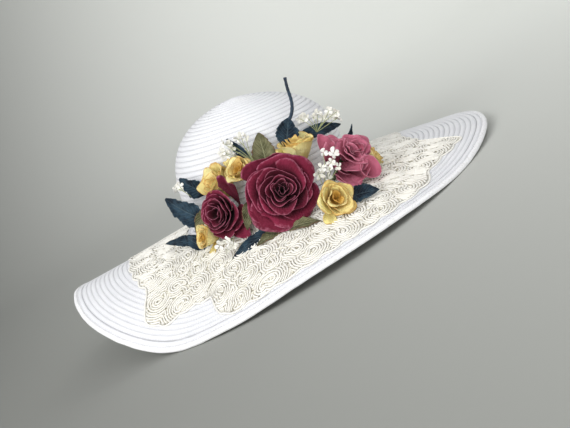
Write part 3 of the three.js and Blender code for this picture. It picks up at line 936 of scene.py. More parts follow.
@dataclass(frozen=True)
class PetalFinish:
    """Cloth petals with a deep heart and painted shade towards their roots, a painted highlight on the rim
    of the wine and pink petals and a browner rim on the yellow, and fine pressed veins.
    """

    hue: Hue
    colour: Colour
    heart: Colour
    mottle: Colour
    rim: Colour
    rim_start: float
    rim_weight: float
    rim_end: float = 1.02
    rim_rough: float = 0.22
    surface: Surface = Surface(0.75, 0.04, 1.4, 0.25, 1.6, 0.8)
    crease: float = 130.0
    mottle_scale: float = 70.0
    mottle_weight: float = 0.55
    deepest_tone: float = 1.6
    veins: float = 9.0
    vein_height: float = 0.2

    def build(self, effects: Effects) -> Material:
        """Builds the material.

        Args:
            effects: The shared shader groups.

        Returns:
            The petals' material, which reads the painted rim, side, heart with its painted shade, and tone.
        """
        paint = Paint(self.hue.value, self.surface)
        graph = paint.graph
        place = graph.place()
        rim, side = graph.value("rim"), graph.value("side")
        grain = graph.effect(effects.grain, {"Place": place, "Crease": self.crease,
                                             "Mottle": self.mottle_scale})
        edge = graph.effect(effects.edge, {"Place": place, "Nearness": rim, "Start": self.rim_start,
                                           "End": self.rim_end, "Rough": self.rim_rough})
        veins = graph.effect(effects.veins, {"Along": side, "Side": rim, "Count": self.veins, "Slant": 0.0})
        colour = graph.tint(self.colour, grain.outputs["Mottle"], self.mottle_weight, self.mottle)
        colour = graph.blend(graph.band(graph.value("tone"), 0.0, self.deepest_tone), colour, self.heart)
        # The heart colour with painted shade deep in the flower, darkest towards each petal's root
        colour = graph.blend(graph.value("heart"), colour, self.heart)
        # The rim tint is a painted highlight on the wine and pink petals and a browner edge on the yellow
        colour = graph.tint(colour, edge.outputs["Mask"], self.rim_weight, self.rim)
        pressed = graph.times(veins.outputs["Height"], self.vein_height)
        return paint.finish(colour, graph.plus(grain.outputs["Height"], pressed))


@dataclass(frozen=True)
class LeafFinish:
    """Cloth leaves with a midrib, side veins and a worn edge."""

    hue: Hue
    colour: Colour
    mottle: Colour
    vein: Colour
    edge: Colour
    vein_weight: float
    surface: Surface = Surface(0.7, 0.03, 1.45, 0.3, 1.6, 0.8)
    crease: float = 150.0
    mottle_scale: float = 90.0
    veins: float = 9.0
    vein_slant: float = 0.3
    edge_start: float = 0.86
    edge_rough: float = 0.3
    edge_weight: float = 0.7

    def build(self, effects: Effects) -> Material:
        """Builds the material.

        Args:
            effects: The shared shader groups.

        Returns:
            The leaves' material, which reads the painted length and side.
        """
        paint = Paint(self.hue.value, self.surface)
        graph = paint.graph
        place = graph.place()
        side = graph.value("side")
        grain = graph.effect(effects.grain, {"Place": place, "Crease": self.crease,
                                             "Mottle": self.mottle_scale})
        veins = graph.effect(effects.veins, {"Along": graph.value("along"), "Side": side,
                                             "Count": self.veins, "Slant": self.vein_slant})
        edge = graph.effect(effects.edge, {"Place": place, "Nearness": graph.unsigned(side),
                                           "Start": self.edge_start, "Rough": self.edge_rough})
        colour = graph.blend(grain.outputs["Mottle"], self.colour, self.mottle)
        colour = graph.tint(colour, veins.outputs["Mask"], self.vein_weight, self.vein)
        colour = graph.tint(colour, edge.outputs["Mask"], self.edge_weight, self.edge)
        return paint.finish(colour, graph.plus(grain.outputs["Height"], veins.outputs["Height"]))


@dataclass(frozen=True)
class PlainFinish:
    """A small thing of one colour that drifts a little, such as a stem or a blossom."""

    name: str
    colour: Colour
    mottle: Colour
    surface: Surface = Surface()
    crease: float = 350.0
    mottle_scale: float = 120.0

    def build(self, effects: Effects) -> Material:
        """Builds the material.

        Args:
            effects: The shared shader groups.

        Returns:
            The material.
        """
        paint = Paint(self.name, self.surface)
        graph = paint.graph
        grain = graph.effect(effects.grain, {"Place": graph.place(), "Crease": self.crease,
                                             "Mottle": self.mottle_scale})
        colour = graph.blend(grain.outputs["Mottle"], self.colour, self.mottle)
        return paint.finish(colour, grain.outputs["Height"])


# The wine and pink rims are lighter as a painted highlight; the yellow rim is the petals' own browner edge.
# Each heart colour is both the flower's deeper heart and painted shade
PETAL_FINISHES = (
    PetalFinish(Hue.WINE, colour=srgb(134, 38, 66), heart=srgb(44, 2, 12), mottle=srgb(108, 24, 46),
                rim=srgb(196, 116, 140), rim_start=0.93, rim_weight=0.6),
    PetalFinish(Hue.PINK, colour=srgb(206, 118, 142), heart=srgb(146, 62, 80), mottle=srgb(184, 92, 116),
                rim=srgb(230, 164, 182), rim_start=0.92, rim_weight=0.5),
    PetalFinish(Hue.YELLOW, colour=srgb(255, 246, 180), heart=srgb(216, 168, 72),
                mottle=srgb(246, 228, 136), rim=srgb(196, 128, 42), rim_start=0.9, rim_weight=0.7),
)

LEAF_FINISHES = (
    LeafFinish(Hue.GREEN, colour=srgb(132, 130, 96), mottle=srgb(94, 94, 64), vein=srgb(172, 172, 134),
               edge=srgb(134, 92, 70), vein_weight=0.65),
    LeafFinish(Hue.NAVY, colour=srgb(50, 74, 90), mottle=srgb(8, 26, 42), vein=srgb(98, 120, 130),
               edge=srgb(72, 94, 106), vein_weight=0.4),
)

CORD_FINISHES = (
    CordFinish("lace_cord", colour=srgb(252, 250, 243), shaded=srgb(241, 237, 224)),
    CordFinish("sewing_thread", colour=srgb(236, 236, 238), shaded=srgb(160, 160, 166), twist=0.5),
)

PLAIN_FINISHES = (
    PlainFinish("calyx_green", colour=srgb(96, 108, 62), mottle=srgb(70, 80, 44)),
    PlainFinish("navy_stem", colour=srgb(44, 64, 84), mottle=srgb(26, 42, 60), surface=Surface(0.6)),
    PlainFinish("white_blossom", colour=srgb(250, 249, 244), mottle=srgb(232, 230, 218)),
    PlainFinish("pale_green_stem", colour=srgb(176, 180, 132), mottle=srgb(150, 158, 108)),
)


class Wardrobe:
    """Every finish of the hat, built once."""

    def __init__(self) -> None:
        """Builds the shared effects and the materials."""
        effects = Effects()
        self.straw = StrawFinish().build(effects)
        self.hem = HemFinish().build(effects)
        self.lace, self.thread = (finish.build(effects) for finish in CORD_FINISHES)
        self.calyx, self.navy_stem, self.blossom, self.pale_stem = (
            finish.build(effects) for finish in PLAIN_FINISHES)
        self.petals = {finish.hue: finish.build(effects) for finish in PETAL_FINISHES}
        self.leaves = {finish.hue: finish.build(effects) for finish in LEAF_FINISHES}


# Within one row of braid: share of its width from the overlapped edge, and height of its face
BRAID_ROW = ((0.0, -0.6), (0.09, 0.05), (0.3, 0.38), (0.7, 0.48), (0.91, 0.15))
# Length of one plait along a row
PLAIT_PITCH = 2.2


@dataclass
class Crown:
    """The rounded crown, sewn in rows from its tip down to its foot."""

    segments: int = 288
    row_width: float = 6.0
    wall: float = 2.0
    lining_step: float = 7.0
    foot_gap: float = 0.3
    tip_arc: float = 1.0
    tip_lift: float = 0.2
    tip_row: float = 0.1
    tip_rise: float = 0.1

    def stations(self) -> Array:
        """Stations from the inner tip down to the foot and up the outside.

        Returns:
            Lengths up the side, heights above the braid's face and row numbers, as three rows.
        """
        total = HAT.crown_profile()[0][-1]
        count = round(total / self.row_width)
        width = total / count
        end = total - self.tip_arc
        found = [(arc, -self.wall, arc / width) for arc in np.arange(end, 0, -self.lining_step)]
        found.append((0.0, -self.wall, 0.0))
        for row in range(count):
            for share, lift in reversed(BRAID_ROW):
                place = row + 1 - share
                if place * width < end:
                    found.append((place * width, lift, place))
        found.append((end, self.tip_lift, count - self.tip_row))
        return np.array(found).T

    def build(self, wardrobe: Wardrobe) -> None:
        """Builds the crown and dresses it.

        Args:
            wardrobe: The finishes.
        """
        arcs, lifts, rows = self.stations()
        turns = even_turns(self.segments)
        points = HAT.crown(turns[None, :], arcs[:, None], lifts[:, None])
        points[..., 2] = np.maximum(points[..., 2], self.foot_gap)
        radius = np.interp(arcs, *HAT.crown_profile()[:2])
        faces = grid_faces(len(arcs), self.segments, wrap_columns=True)
        uv = braid_map(rows, radius, turns, wrap_rows=False)
        patch = Patchwork()
        patch.add(points, faces, uv=uv, laced=0.0)
        top = HAT.crown_height
        ends = HAT.leaned(np.array(((0, 0, top - self.wall), (0, 0, top + self.tip_rise))))
        first = patch.count
        patch.add(ends, np.zeros((0, 4), int), laced=0.0)
        patch.add_faces(fan(0, self.segments, first))
        patch.add_faces(fan((len(arcs) - 1) * self.segments, self.segments, first + 1))
        patch.to_object("crown_braid", [wardrobe.straw], ["crown"], braid=True)


def braid_map(rows: Array, radius: Array, turns: Array, wrap_rows: bool) -> Array:
    """Corner values of a braided grid: plaits along each row, and rows across it.

    Args:
        rows: Row number of each station.
        radius: Radius of each station.
        turns: Turn of each column.
        wrap_rows: The stations run in a closed loop.

    Returns:
        Two values for each corner of each face.
    """
    if wrap_rows:
        following, next_radius = np.roll(rows, -1), np.roll(radius, -1)
    else:
        following, next_radius, rows, radius = rows[1:], radius[1:], rows[:-1], radius[:-1]
    plaits = np.round(math.pi * (radius + next_radius) / PLAIT_PITCH)
    count = len(turns)
    start = np.arange(count) / count
    shape = (len(rows), count)
    left = np.broadcast_to(plaits[:, None] * start[None, :], shape)
    right = np.broadcast_to(plaits[:, None] * (start + 1 / count)[None, :], shape)
    near = np.broadcast_to(rows[:, None], shape)
    far = np.broadcast_to(following[:, None], shape)
    corners = ((left, near), (right, near), (right, far), (left, far))
    return np.stack([np.stack(corner, axis=-1) for corner in corners], axis=-2)


# How far the lace reaches over the brim, round the hat
LACE_EDGE = {
    0: 0.4, 12: 0.46, 22: 0.56, 26: 0.86, 36: 0.81, 45: 0.78, 54: 0.9, 66: 0.915, 84: 0.915, 102: 0.92,
    114: 0.91, 120: 0.7, 130: 0.73, 138: 0.85, 145: 0.82, 149: 0.62, 160: 0.57, 180: 0.52, 204: 0.62,
    222: 0.74, 234: 0.62, 252: 0.78, 270: 0.66, 288: 0.78, 306: 0.6, 324: 0.68, 342: 0.5,
}
# Scallops of the lace's outline: how many, how deep, how far they drift and how much of them lies inside
LACE_LOBES = 54
LACE_LOBE_DEPTH = 0.026
LACE_LOBE_DRIFT = 0.9
LACE_LOBE_INSET = 0.75
# The outline is kept at even steps of turn and softened over some of them
LACE_STEP = 0.5
LACE_SOFT_STEPS = 8
LACE_SOFTNESS = 3.5
# Where the lace starts, as a share of the brim's width
LACE_START = 0.05


@cache
def lace_outline() -> Array:
    """The lace's lobed outline.

    Returns:
        How far the lace reaches at each step of turn, as a share of the brim's width.
    """
    turn = np.arange(0, 360, LACE_STEP)
    rough = np.interp(turn, list(LACE_EDGE), list(LACE_EDGE.values()), period=360)
    near = np.exp(-((np.arange(-LACE_SOFT_STEPS, LACE_SOFT_STEPS + 1) / LACE_SOFTNESS) ** 2))
    around = np.concatenate((rough[-LACE_SOFT_STEPS:], rough, rough[:LACE_SOFT_STEPS]))
    soft = np.convolve(around, near / near.sum(), "valid")
    phase = np.radians(turn) * LACE_LOBES / 2 + LACE_LOBE_DRIFT * wander(turn, seed=3, waves=(3, 9))
    return soft + LACE_LOBE_DEPTH * (np.abs(np.sin(phase)) - LACE_LOBE_INSET)


def lace_reach(turn: Array) -> Array:
    """How far the lace reaches at a turn, as a share of the brim's width."""
    return np.interp(np.mod(turn, 360), np.arange(0, 360, LACE_STEP), lace_outline(), period=360)


@dataclass
class Brim:
    """The wide wavy brim, sewn in rows outwards from the crown's foot."""

    segments: int = 360
    row_count: int = 25
    wall: float = 1.5
    seat: float = -0.02
    seam_lift: float = -0.2
    under_rows: tuple[Pair, ...] = ((0.0, -1.3), (0.5, -1.65))
    lace_fade: float = 3.0
    top_face: float = -1.0

    def stations(self) -> Array:
        """Stations over the top face from the crown outwards, and back under it.

        Returns:
            Reaches, heights above the braid's face and row numbers, as three rows.
        """
        end, count = HAT.brim_end, self.row_count
        upper = [(row + share, lift) for row in range(count) for share, lift in BRAID_ROW]
        under = [(row - share, lift) for row in range(count, 0, -1) for share, lift in self.under_rows]
        found = [(self.seat, self.seam_lift, 0.0)]
        found += [(row * end / count, lift, row) for row, lift in upper]
        found.append((end, self.seam_lift, count))
        found += [(row * end / count, lift, row) for row, lift in under]
        found.append((self.seat, -self.wall, 0.0))
        return np.array(found).T

    def build(self, wardrobe: Wardrobe) -> None:
        """Builds the brim and dresses it.

        Args:
            wardrobe: The finishes.
        """
        reach, lift, rows = self.stations()
        turns = even_turns(self.segments)
        points = HAT.brim(turns[None, :], reach[:, None], lift[:, None])
        radius = HAT.mean_radius() + HAT.brim_width * reach
        uv = braid_map(rows, radius, turns, wrap_rows=True)
        inside = (lace_reach(turns)[None, :] - reach[:, None]) * HAT.brim_width
        upper = (lift[:, None] > self.top_face) * (reach[:, None] > LACE_START)
        covered = np.clip(inside / self.lace_fade, 0, 1) * upper
        patch = Patchwork()
        patch.add(points, grid_faces(len(reach), self.segments, True, True), uv=uv, laced=covered)
        patch.to_object("brim_braid", [wardrobe.straw], ["brim"], braid=True)


@dataclass
class Hem:
    """The last row of braid and the narrow rolled rim at the brim's edge, with its stitches."""

    segments: int = 540
    stitch_count: int = 420
    stitch_reach: float = 0.974
    stitch_height: float = 0.75
    stitch_length: float = 0.5
    stitch_radius: float = 0.24
    seam_reach: float = 0.9313
    seam_height: float = -0.35
    seam_radius: float = 0.32
    stitch_rise: float = 0.25
    stitch_points: int = 4
    thread_sides: int = 5
    reach_wave: float = 0.0009
    wavy_reach: float = 0.96
    height_wave: float = 0.14
    wavy_height: float = 3.0
    row: tuple[Triple, ...] = (
        (0.9325, -0.6, 0.0), (0.9355, 0.05, 0.09), (0.943, 0.4, 0.3), (0.957, 0.48, 0.7),
        (0.9645, 0.15, 0.91))
    rim: tuple[Triple, ...] = (
        (0.968, -0.5, 1.0), (0.971, 0.5, 1.1), (0.978, 1.0, 1.25), (0.988, 1.0, 1.45), (0.996, 0.5, 1.6),
        (1.001, -0.6, 1.7), (1.003, -1.9, 1.8), (1.001, -3.0, 1.88), (0.996, -3.5, 1.95))
    under: tuple[Triple, ...] = (
        (0.988, -3.15, 2.0), (0.98, -2.6, 2.2), (0.955, -2.2, 2.6), (0.9325, -1.8, 3.0))

    def build(self, wardrobe: Wardrobe) -> None:
        """Builds the band and its stitches.

        Args:
            wardrobe: The finishes.
        """
        turns = even_turns(self.segments)
        reach, lift, rows = np.array(self.row + self.rim + self.under).T
        rough = wander(turns, seed=5, waves=(20, 90))[None, :]
        wave = self.reach_wave * rough * (reach[:, None] > self.wavy_reach)
        uneven = wander(turns, seed=9, waves=(14, 70))[None, :]
        dip = self.height_wave * uneven * (np.abs(lift[:, None]) < self.wavy_height)
        points = HAT.brim(turns[None, :], reach[:, None] + wave, lift[:, None] + dip)
        radius = HAT.mean_radius() + HAT.brim_width * reach
        uv = braid_map(rows, radius, turns, wrap_rows=True)
        rolled = (np.arange(len(reach)) >= len(self.row)).astype(int)
        patch = Patchwork()
        patch.add(points, grid_faces(len(reach), self.segments, True, True), uv=uv,
                  slot=np.repeat(rolled, self.segments), laced=0.0)
        patch.to_object("edge_band", [wardrobe.straw, wardrobe.hem], ["edge_binding"],
                        braid=True)
        self.build_stitches(wardrobe)

    def build_stitches(self, wardrobe: Wardrobe) -> None:
        """Builds the row of stitches along the rim and the thread that lies in the hem's seam.

        Args:
            wardrobe: The finishes.
        """
        patch = Patchwork()
        step = 360 / self.stitch_count
        share = np.linspace(0, 1, self.stitch_points)
        height = self.stitch_height + self.stitch_rise * np.sin(math.pi * share)
        for i in range(self.stitch_count):
            turns = (i + share * self.stitch_length) * step
            path = HAT.brim(turns, self.stitch_reach, height)
            patch.add_tube(path, self.stitch_radius, self.thread_sides, length=share, side=0.0)
        around = np.linspace(0, 360, self.segments + 1)
        seam = HAT.brim(around, self.seam_reach, self.seam_height)
        patch.add_tube(seam, self.seam_radius, self.thread_sides, length=0.0, side=0.0)
        patch.to_object("hem_stitches", [wardrobe.thread], [])


@dataclass
class Lace:
    """Scroll lace of stitched cord: loops round drop-shaped motifs, echoed until they meet."""

    pitch: float = 2.9
    cell: float = 1.1
    levels: Pair = (-3.5, 9.0)
    border_room: float = 0.45
    border_points: int = 1081
    cord_step: float = 2.0
    cord_half_width: float = 1.12
    width_variety: float = 0.12
    height_variety: float = 0.1
    shortest: float = 6.0
    fewest_points: int = 4
    soft_rounds: int = 3
    seed: int = 21
    section: tuple[Pair, ...] = (
        (-1.0, 0.65), (-0.66, 1.45), (0.0, 1.8), (0.66, 1.45), (1.0, 0.65))
    bar_every: int = 4
    bar_skipped: float = 0.4
    bar_ends: Pair = (0.4, 2.755)
    bar_scatter: float = 0.5
    bar_heights: Triple = (1.1, 1.0, 1.1)
    bar_radius: float = 0.42
    turn_scatter: float = 0.12
    reach_scatter: float = 0.02
    edge_room: float = 0.05
    side_heading: float = 90.0
    heading_scatter: float = 40.0
    bends: Pair = (14.0, 24.0)
    growth: Pair = (0.85, 1.15)
    # Each ring of scrolls: its reach over the brim, their spacing and their size
    rings: tuple[Triple, ...] = (
        (0.13, 26.0, 3.5), (0.26, 40.0, 5.5), (0.4, 30.0, 4.0), (0.54, 42.0, 6.5), (0.68, 32.0, 4.5),
        (0.81, 40.0, 6.0))

    def motifs(self) -> Array:
        """Places drop-shaped scrolls ring by ring where the lace reaches.

        Returns:
            Flat x, y and radius of every circle of every scroll, as three columns.
        """
        rng = np.random.default_rng(self.seed)
        made = []
        for number, (reach, spacing, size) in enumerate(self.rings):
            odd = number % 2
            radius = HAT.mean_radius() + reach * HAT.brim_width
            count = round(2 * math.pi * radius / spacing)
            for i in range(count):
                shift = rng.uniform(-self.turn_scatter, self.turn_scatter)
                turn = (i + 0.5 * odd + shift) * 360 / count
                out = reach + rng.uniform(-self.reach_scatter, self.reach_scatter)
                if out + self.edge_room > lace_reach(np.array(turn)):
                    continue
                if odd:
                    heading = turn + self.side_heading * (-1) ** i
                    heading += rng.uniform(-self.heading_scatter, self.heading_scatter)
                else:
                    heading = rng.uniform(0, 360)
                bend = (-1) ** (i + number) * rng.uniform(*self.bends)
                head = HAT.flat(np.array(turn), np.array(out))
                made += self.drop(head, heading, bend, size * rng.uniform(*self.growth))
        return np.array(made)

    @staticmethod
    def drop(head: Array, heading: float, bend: float, size: float) -> list[Triple]:
        """Circles of one drop: a round head and a tail that bends away and thins.

        Args:
            head: Middle of the head in the flat ring.
            heading: Direction of the tail.
            bend: Change of direction at each step of the tail.
            size: Radius of the head.

        Returns:
            Flat x, y and radius of each circle.
        """
        steps, stride, thinning = 7, 0.42, 0.13
        x, y = head
        circles = [(x, y, size)]
        for step in range(steps):
            angle = math.radians(heading + bend * step)
            x += size * stride * math.cos(angle)
            y += size * stride * math.sin(angle)
            circles.append((x, y, size * (1 - thinning * (step + 1))))
        return circles

    @staticmethod
    def nearest(points: Array, circles: Array) -> Array:
        """Distance of each point to the nearest of many circles, which is below 0 inside one.

        Args:
            points: Rows of x and y.
            circles: Rows of x, y and radius.

        Returns:
            The distance of each point.
        """
        best = np.full(len(points), np.inf, np.float32)
        px, py = points.astype(np.float32).T
        for x, y, radius in circles.astype(np.float32):
            np.minimum(best, np.hypot(px - x, py - y) - radius, out=best)
        return best

    def field(self) -> tuple[Array, Array]:
        """The height map whose level lines the cords follow.

        Returns:
            Its steps, the same in x and y, and its values.
        """
        widest = HAT.brim_width * max(LACE_EDGE.values())
        out = HAT.crown_half_length + widest + self.pitch
        steps = np.arange(-out, out, self.cell)
        x, y = np.meshgrid(steps, steps)
        places = np.stack((x.ravel(), y.ravel()), axis=-1)
        turn, reach = HAT.unflat(places)
        inside = (reach > LACE_START) & (reach < lace_reach(turn))
        found = places[inside]
        border = self.border()
        edge = self.nearest(found, np.column_stack((border, np.zeros(len(border)))))
        values = np.full(len(places), np.nan, np.float32)
        level = self.nearest(found, self.motifs())
        values[inside] = np.where(edge > self.pitch * self.border_room, level, np.nan)
        return steps, values.reshape(x.shape)

    def border(self) -> Array:
        """The outline of the lace in the flat ring, as a closed line."""
        turns = np.linspace(0, 360, self.border_points)
        return HAT.flat(turns, lace_reach(turns))

    def level_lines(self) -> list[Array]:
        """The border and the level lines of the field, one pitch apart.

        Returns:
            Each line as rows of flat x and y.
        """
        steps, values = self.field()
        lines = [self.border()]
        for level in np.arange(*self.levels) * self.pitch:
            lines.extend(self.trace(steps, values - level))
        return lines

    @staticmethod
    def trace(steps: Array, values: Array) -> list[Array]:
        """Lines where a height map crosses zero.

        Args:
            steps: The map's steps, the same across and up.
            values: The map, with no number where it ends.

        Returns:
            Each line as rows of x and y.
        """
        rows, columns = values.shape
        cell = steps[1] - steps[0]
        points: dict[int, Pair] = {}
        with np.errstate(invalid="ignore"):
            flat_cross = np.argwhere(values[:, :-1] * values[:, 1:] < 0)
            tall_cross = np.argwhere(values[:-1, :] * values[1:, :] < 0)
        for i, j in flat_cross:
            a, b = values[i, j], values[i, j + 1]
            points[2 * (i * columns + j)] = (steps[j] + cell * a / (a - b), steps[i])
        for i, j in tall_cross:
            a, b = values[i, j], values[i + 1, j]
            points[2 * (i * columns + j) + 1] = (steps[j], steps[i] + cell * a / (a - b))
        joined: dict[int, list[int]] = {}
        flat_cross, tall_cross = list(map(tuple, flat_cross)), list(map(tuple, tall_cross))
        cells = {(i, j) for i, j in flat_cross} | {(i - 1, j) for i, j in flat_cross}
        beside = {(i, j) for i, j in tall_cross} | {(i, j - 1) for i, j in tall_cross}
        for group in (cells, beside - cells):
            for i, j in group:
                whole = 0 <= i < rows - 1 and 0 <= j < columns - 1
                if whole and not np.isnan(values[i:i + 2, j:j + 2]).any():
                    Lace.join_cell(i, j, columns, points, joined)
        return Lace.follow(points, joined)

    @staticmethod
    def join_cell(i: int, j: int, columns: int, points: dict, joined: dict[int, list[int]]) -> None:
        """Joins the crossings on the sides of one cell in pairs.

        Args:
            i: The cell's row.
            j: The cell's column.
            columns: Steps in a row of the map.
            points: Place of each crossing.
            joined: The neighbours of each crossing, which it completes.
        """
        sides = (2 * (i * columns + j), 2 * (i * columns + j + 1) + 1,
                 2 * ((i + 1) * columns + j), 2 * (i * columns + j) + 1)
        found = [side for side in sides if side in points]
        for a, b in zip(found[::2], found[1::2]):
            joined.setdefault(a, []).append(b)
            joined.setdefault(b, []).append(a)

    @staticmethod
    def follow(points: dict[int, Pair], joined: dict[int, list[int]]) -> list[Array]:
        """Follows joined crossings from end to end, and round closed loops.

        Args:
            points: Place of each crossing.
            joined: The neighbours of each crossing.

        Returns:
            Each line as rows of x and y.
        """
        lines = []
        left = set(joined)
        ends = [key for key in sorted(joined) if len(joined[key]) == 1]
        for start in ends + sorted(joined):
            if start not in left:
                continue
            left.discard(start)
            chain = [start]
            while True:
                onward = [key for key in joined[chain[-1]] if key in left]
                if not onward:
                    break
                chain.append(onward[0])
                left.discard(onward[0])
            if len(chain) > 3 and start in joined[chain[-1]]:
                chain.append(start)
            lines.append(np.array([points[key] for key in chain]))
        return lines

    def build(self, wardrobe: Wardrobe) -> None:
        """Builds the cords and the fine bars between them.

        Args:
            wardrobe: The finishes.
        """
        cords = Patchwork()
        bars = Patchwork()
        rng = np.random.default_rng(self.seed)
        flats, lifts, faces, lengths, sides = [], [], [], [], []
        count = 0
        across = np.array(self.section)
        for line in self.level_lines():
            path = self.smoothed(line)
            if path is None:
                continue
            along = unit(np.gradient(path, axis=0))
            side = np.stack((-along[:, 1], along[:, 0]), axis=-1)
            thick = self.cord_half_width * (1 + self.width_variety * rng.normal())
            flat = path[:, None] + side[:, None] * across[None, :, :1] * thick
            raised = self.height_variety * rng.normal()
            rows, columns = flat.shape[:2]
            flats.append(flat.reshape(-1, 2))
            lifts.append(np.tile(across[:, 1], rows) + raised)
            faces.append(grid_faces(rows, columns, wrap_columns=True) + count)
            lengths.append(np.repeat(np.arange(rows) * self.cord_step, columns))
            sides.append(np.tile(across[:, 0], rows))
            count += rows * columns
            self.add_bars(bars, path, side, rng)
        turn, reach = HAT.unflat(np.concatenate(flats))
        points = HAT.brim(turn, reach, np.concatenate(lifts))
        cords.add(points, np.concatenate(faces), length=np.concatenate(lengths), side=np.concatenate(sides))
        cords.to_object("lace_cords", [wardrobe.lace], ["lace_applique"])
        bars.to_object("lace_bars", [wardrobe.lace], [])

    def smoothed(self, line: Array) -> Array | None:
        """A level line with even steps and soft corners.

        Args:
            line: Rows of flat x and y.

        Returns:
            The new line, or nothing where it is too short for a cord.
        """
        if len(line) < self.fewest_points:
            return None
        for _ in range(self.soft_rounds):
            line = np.concatenate((line[:1], (line[:-2] + 2 * line[1:-1] + line[2:]) / 4, line[-1:]))
        steps = np.concatenate(([0], np.cumsum(np.hypot(*np.diff(line, axis=0).T))))
        if steps[-1] < self.shortest:
            return None
        count = max(int(steps[-1] / self.cord_step), 3)
        even = np.linspace(0, steps[-1], count)
        return np.stack((np.interp(even, steps, line[:, 0]), np.interp(even, steps, line[:, 1])), axis=-1)

    def add_bars(self, bars: Patchwork, path: Array, side: Array,
                 rng: Random) -> None:
        """Adds fine threads from one cord to the next.

        Args:
            bars: Where the threads are gathered.
            path: The cord's line in the flat ring.
            side: Direction across the cord at each point.
            rng: Picks the threads' places.
        """
        for i in range(2, len(path) - 2, self.bar_every):
            if rng.uniform() < self.bar_skipped:
                continue
            ends = path[i] + side[i] * np.array(self.bar_ends)[:, None]
            ends[1] += rng.normal(size=2) * self.bar_scatter
            turn, reach = HAT.unflat(np.stack((ends[0], ends.mean(0), ends[1])))
            if reach[2] > lace_reach(turn[2:])[0] or reach.min() < LACE_START:
                continue
            bar = HAT.brim(turn, reach, np.array(self.bar_heights))
            bars.add_tube(bar, self.bar_radius, 4, length=0.0, side=0.0)


@dataclass(frozen=True)
class Ring:
    """One ring of like petals of a flower. Lengths are shares of the size of its head."""

    count: int
    reach: float
    rise: float
    half_turn: float
    curl: float
    ruffle: float
    # Share of the heart colour and its painted shade
    heart: float


class Form(Enum):
    """Ways in which the petals of a flower's head lie."""

    FULL = (
        Ring(5, 1.0, 0.0, 50, 0.16, 0.07, -0.1), Ring(4, 0.84, 0.12, 58, 0.15, 0.07, 0.0),
        Ring(4, 0.67, 0.23, 62, 0.12, 0.06, 0.0), Ring(4, 0.52, 0.31, 62, 0.08, 0.05, 0.1),
        Ring(3, 0.39, 0.35, 76, 0.07, 0.07, 0.2), Ring(3, 0.27, 0.34, 80, 0.06, 0.08, 0.5),
        Ring(2, 0.17, 0.26, 104, 0.04, 0.07, 0.85), Ring(2, 0.09, 0.16, 110, 0.01, 0.04, 1.0))
    TIGHT = (
        Ring(4, 1.0, 0.12, 62, 0.12, 0.05, 0.0), Ring(3, 0.8, 0.28, 78, 0.1, 0.05, 0.0),
        Ring(3, 0.6, 0.38, 80, 0.07, 0.06, 0.1), Ring(3, 0.42, 0.43, 82, 0.04, 0.06, 0.3),
        Ring(2, 0.25, 0.44, 118, 0.02, 0.06, 0.6))
    CUP = (
        Ring(3, 1.0, 0.3, 76, 0.12, 0.07, -0.5), Ring(3, 0.8, 0.36, 78, 0.08, 0.08, -0.2),
        Ring(3, 0.56, 0.38, 82, 0.05, 0.1, 0.1), Ring(2, 0.3, 0.36, 110, 0.03, 0.1, 0.4))
    OPEN = (
        Ring(4, 1.0, 0.14, 58, 0.18, 0.13, -0.4), Ring(3, 0.8, 0.3, 74, 0.12, 0.14, -0.2),
        Ring(3, 0.55, 0.34, 78, 0.07, 0.14, 0.1), Ring(2, 0.3, 0.2, 104, 0.03, 0.12, 0.8))
    PETAL = (Ring(1, 1.0, 0.3, 40, 0.14, 0.08, -0.5),)
    LOBE = (Ring(1, 1.0, 0.25, 25, 0.14, 0.08, -0.5),)
    TONGUE = (Ring(1, 1.0, 0.2, 19, 0.16, 0.1, -0.7),)
    BOWL = (Ring(1, 1.0, 0.35, 165, 0.12, 0.06, -0.4),)
    PAIR = (Ring(2, 1.0, 0.2, 66, 0.14, 0.08, -0.5), Ring(2, 0.72, 0.3, 74, 0.08, 0.08, -0.3))


@dataclass(frozen=True)
class Head:
    """One head of petals: its place and lean within its flower, as shares of the flower's radius."""

    form: Form
    right: float = 0.0
    up: float = 0.0
    out: float = 0.0
    size: float = 1.0
    spin: float = 0.0
    lean_right: float = 0.0
    lean_up: float = 0.0
    tall: float = 0.5


@dataclass(frozen=True)
class PetalCut:
    """The cut of a petal: u goes across it from -1 to 1, and v from its root at 0 to its rim at 1."""

    wall: float = 0.45
    grid: tuple[int, int] = (17, 12)
    inner_grid: tuple[int, int] = (15, 8)
    inner_reach: float = 0.4
    peak: float = 0.45
    shoulders: float = 0.2
    corners: float = 0.1
    waist: float = 0.3
    root: float = 0.1
    widths: Pair = (0.88, 1.12)
    roll_start: float = 0.7
    roll_length: float = 0.3
    roll_variety: float = 0.5
    slants: Pair = (0.02, 0.22)
    pleat_depth: float = 0.009
    crease_depth: float = 0.035
    crease_width: float = 0.12
    reach_step: float = 0.08
    reaches: Pair = (-1.6, 1.2)
    rise_variety: float = 0.05
    # Painted shade towards each petal's root: where it ends along the petal, and how far it fades
    heart_end: float = 0.85
    heart_length: float = 0.6
    tone_variety: float = 0.45


CUT = PetalCut()


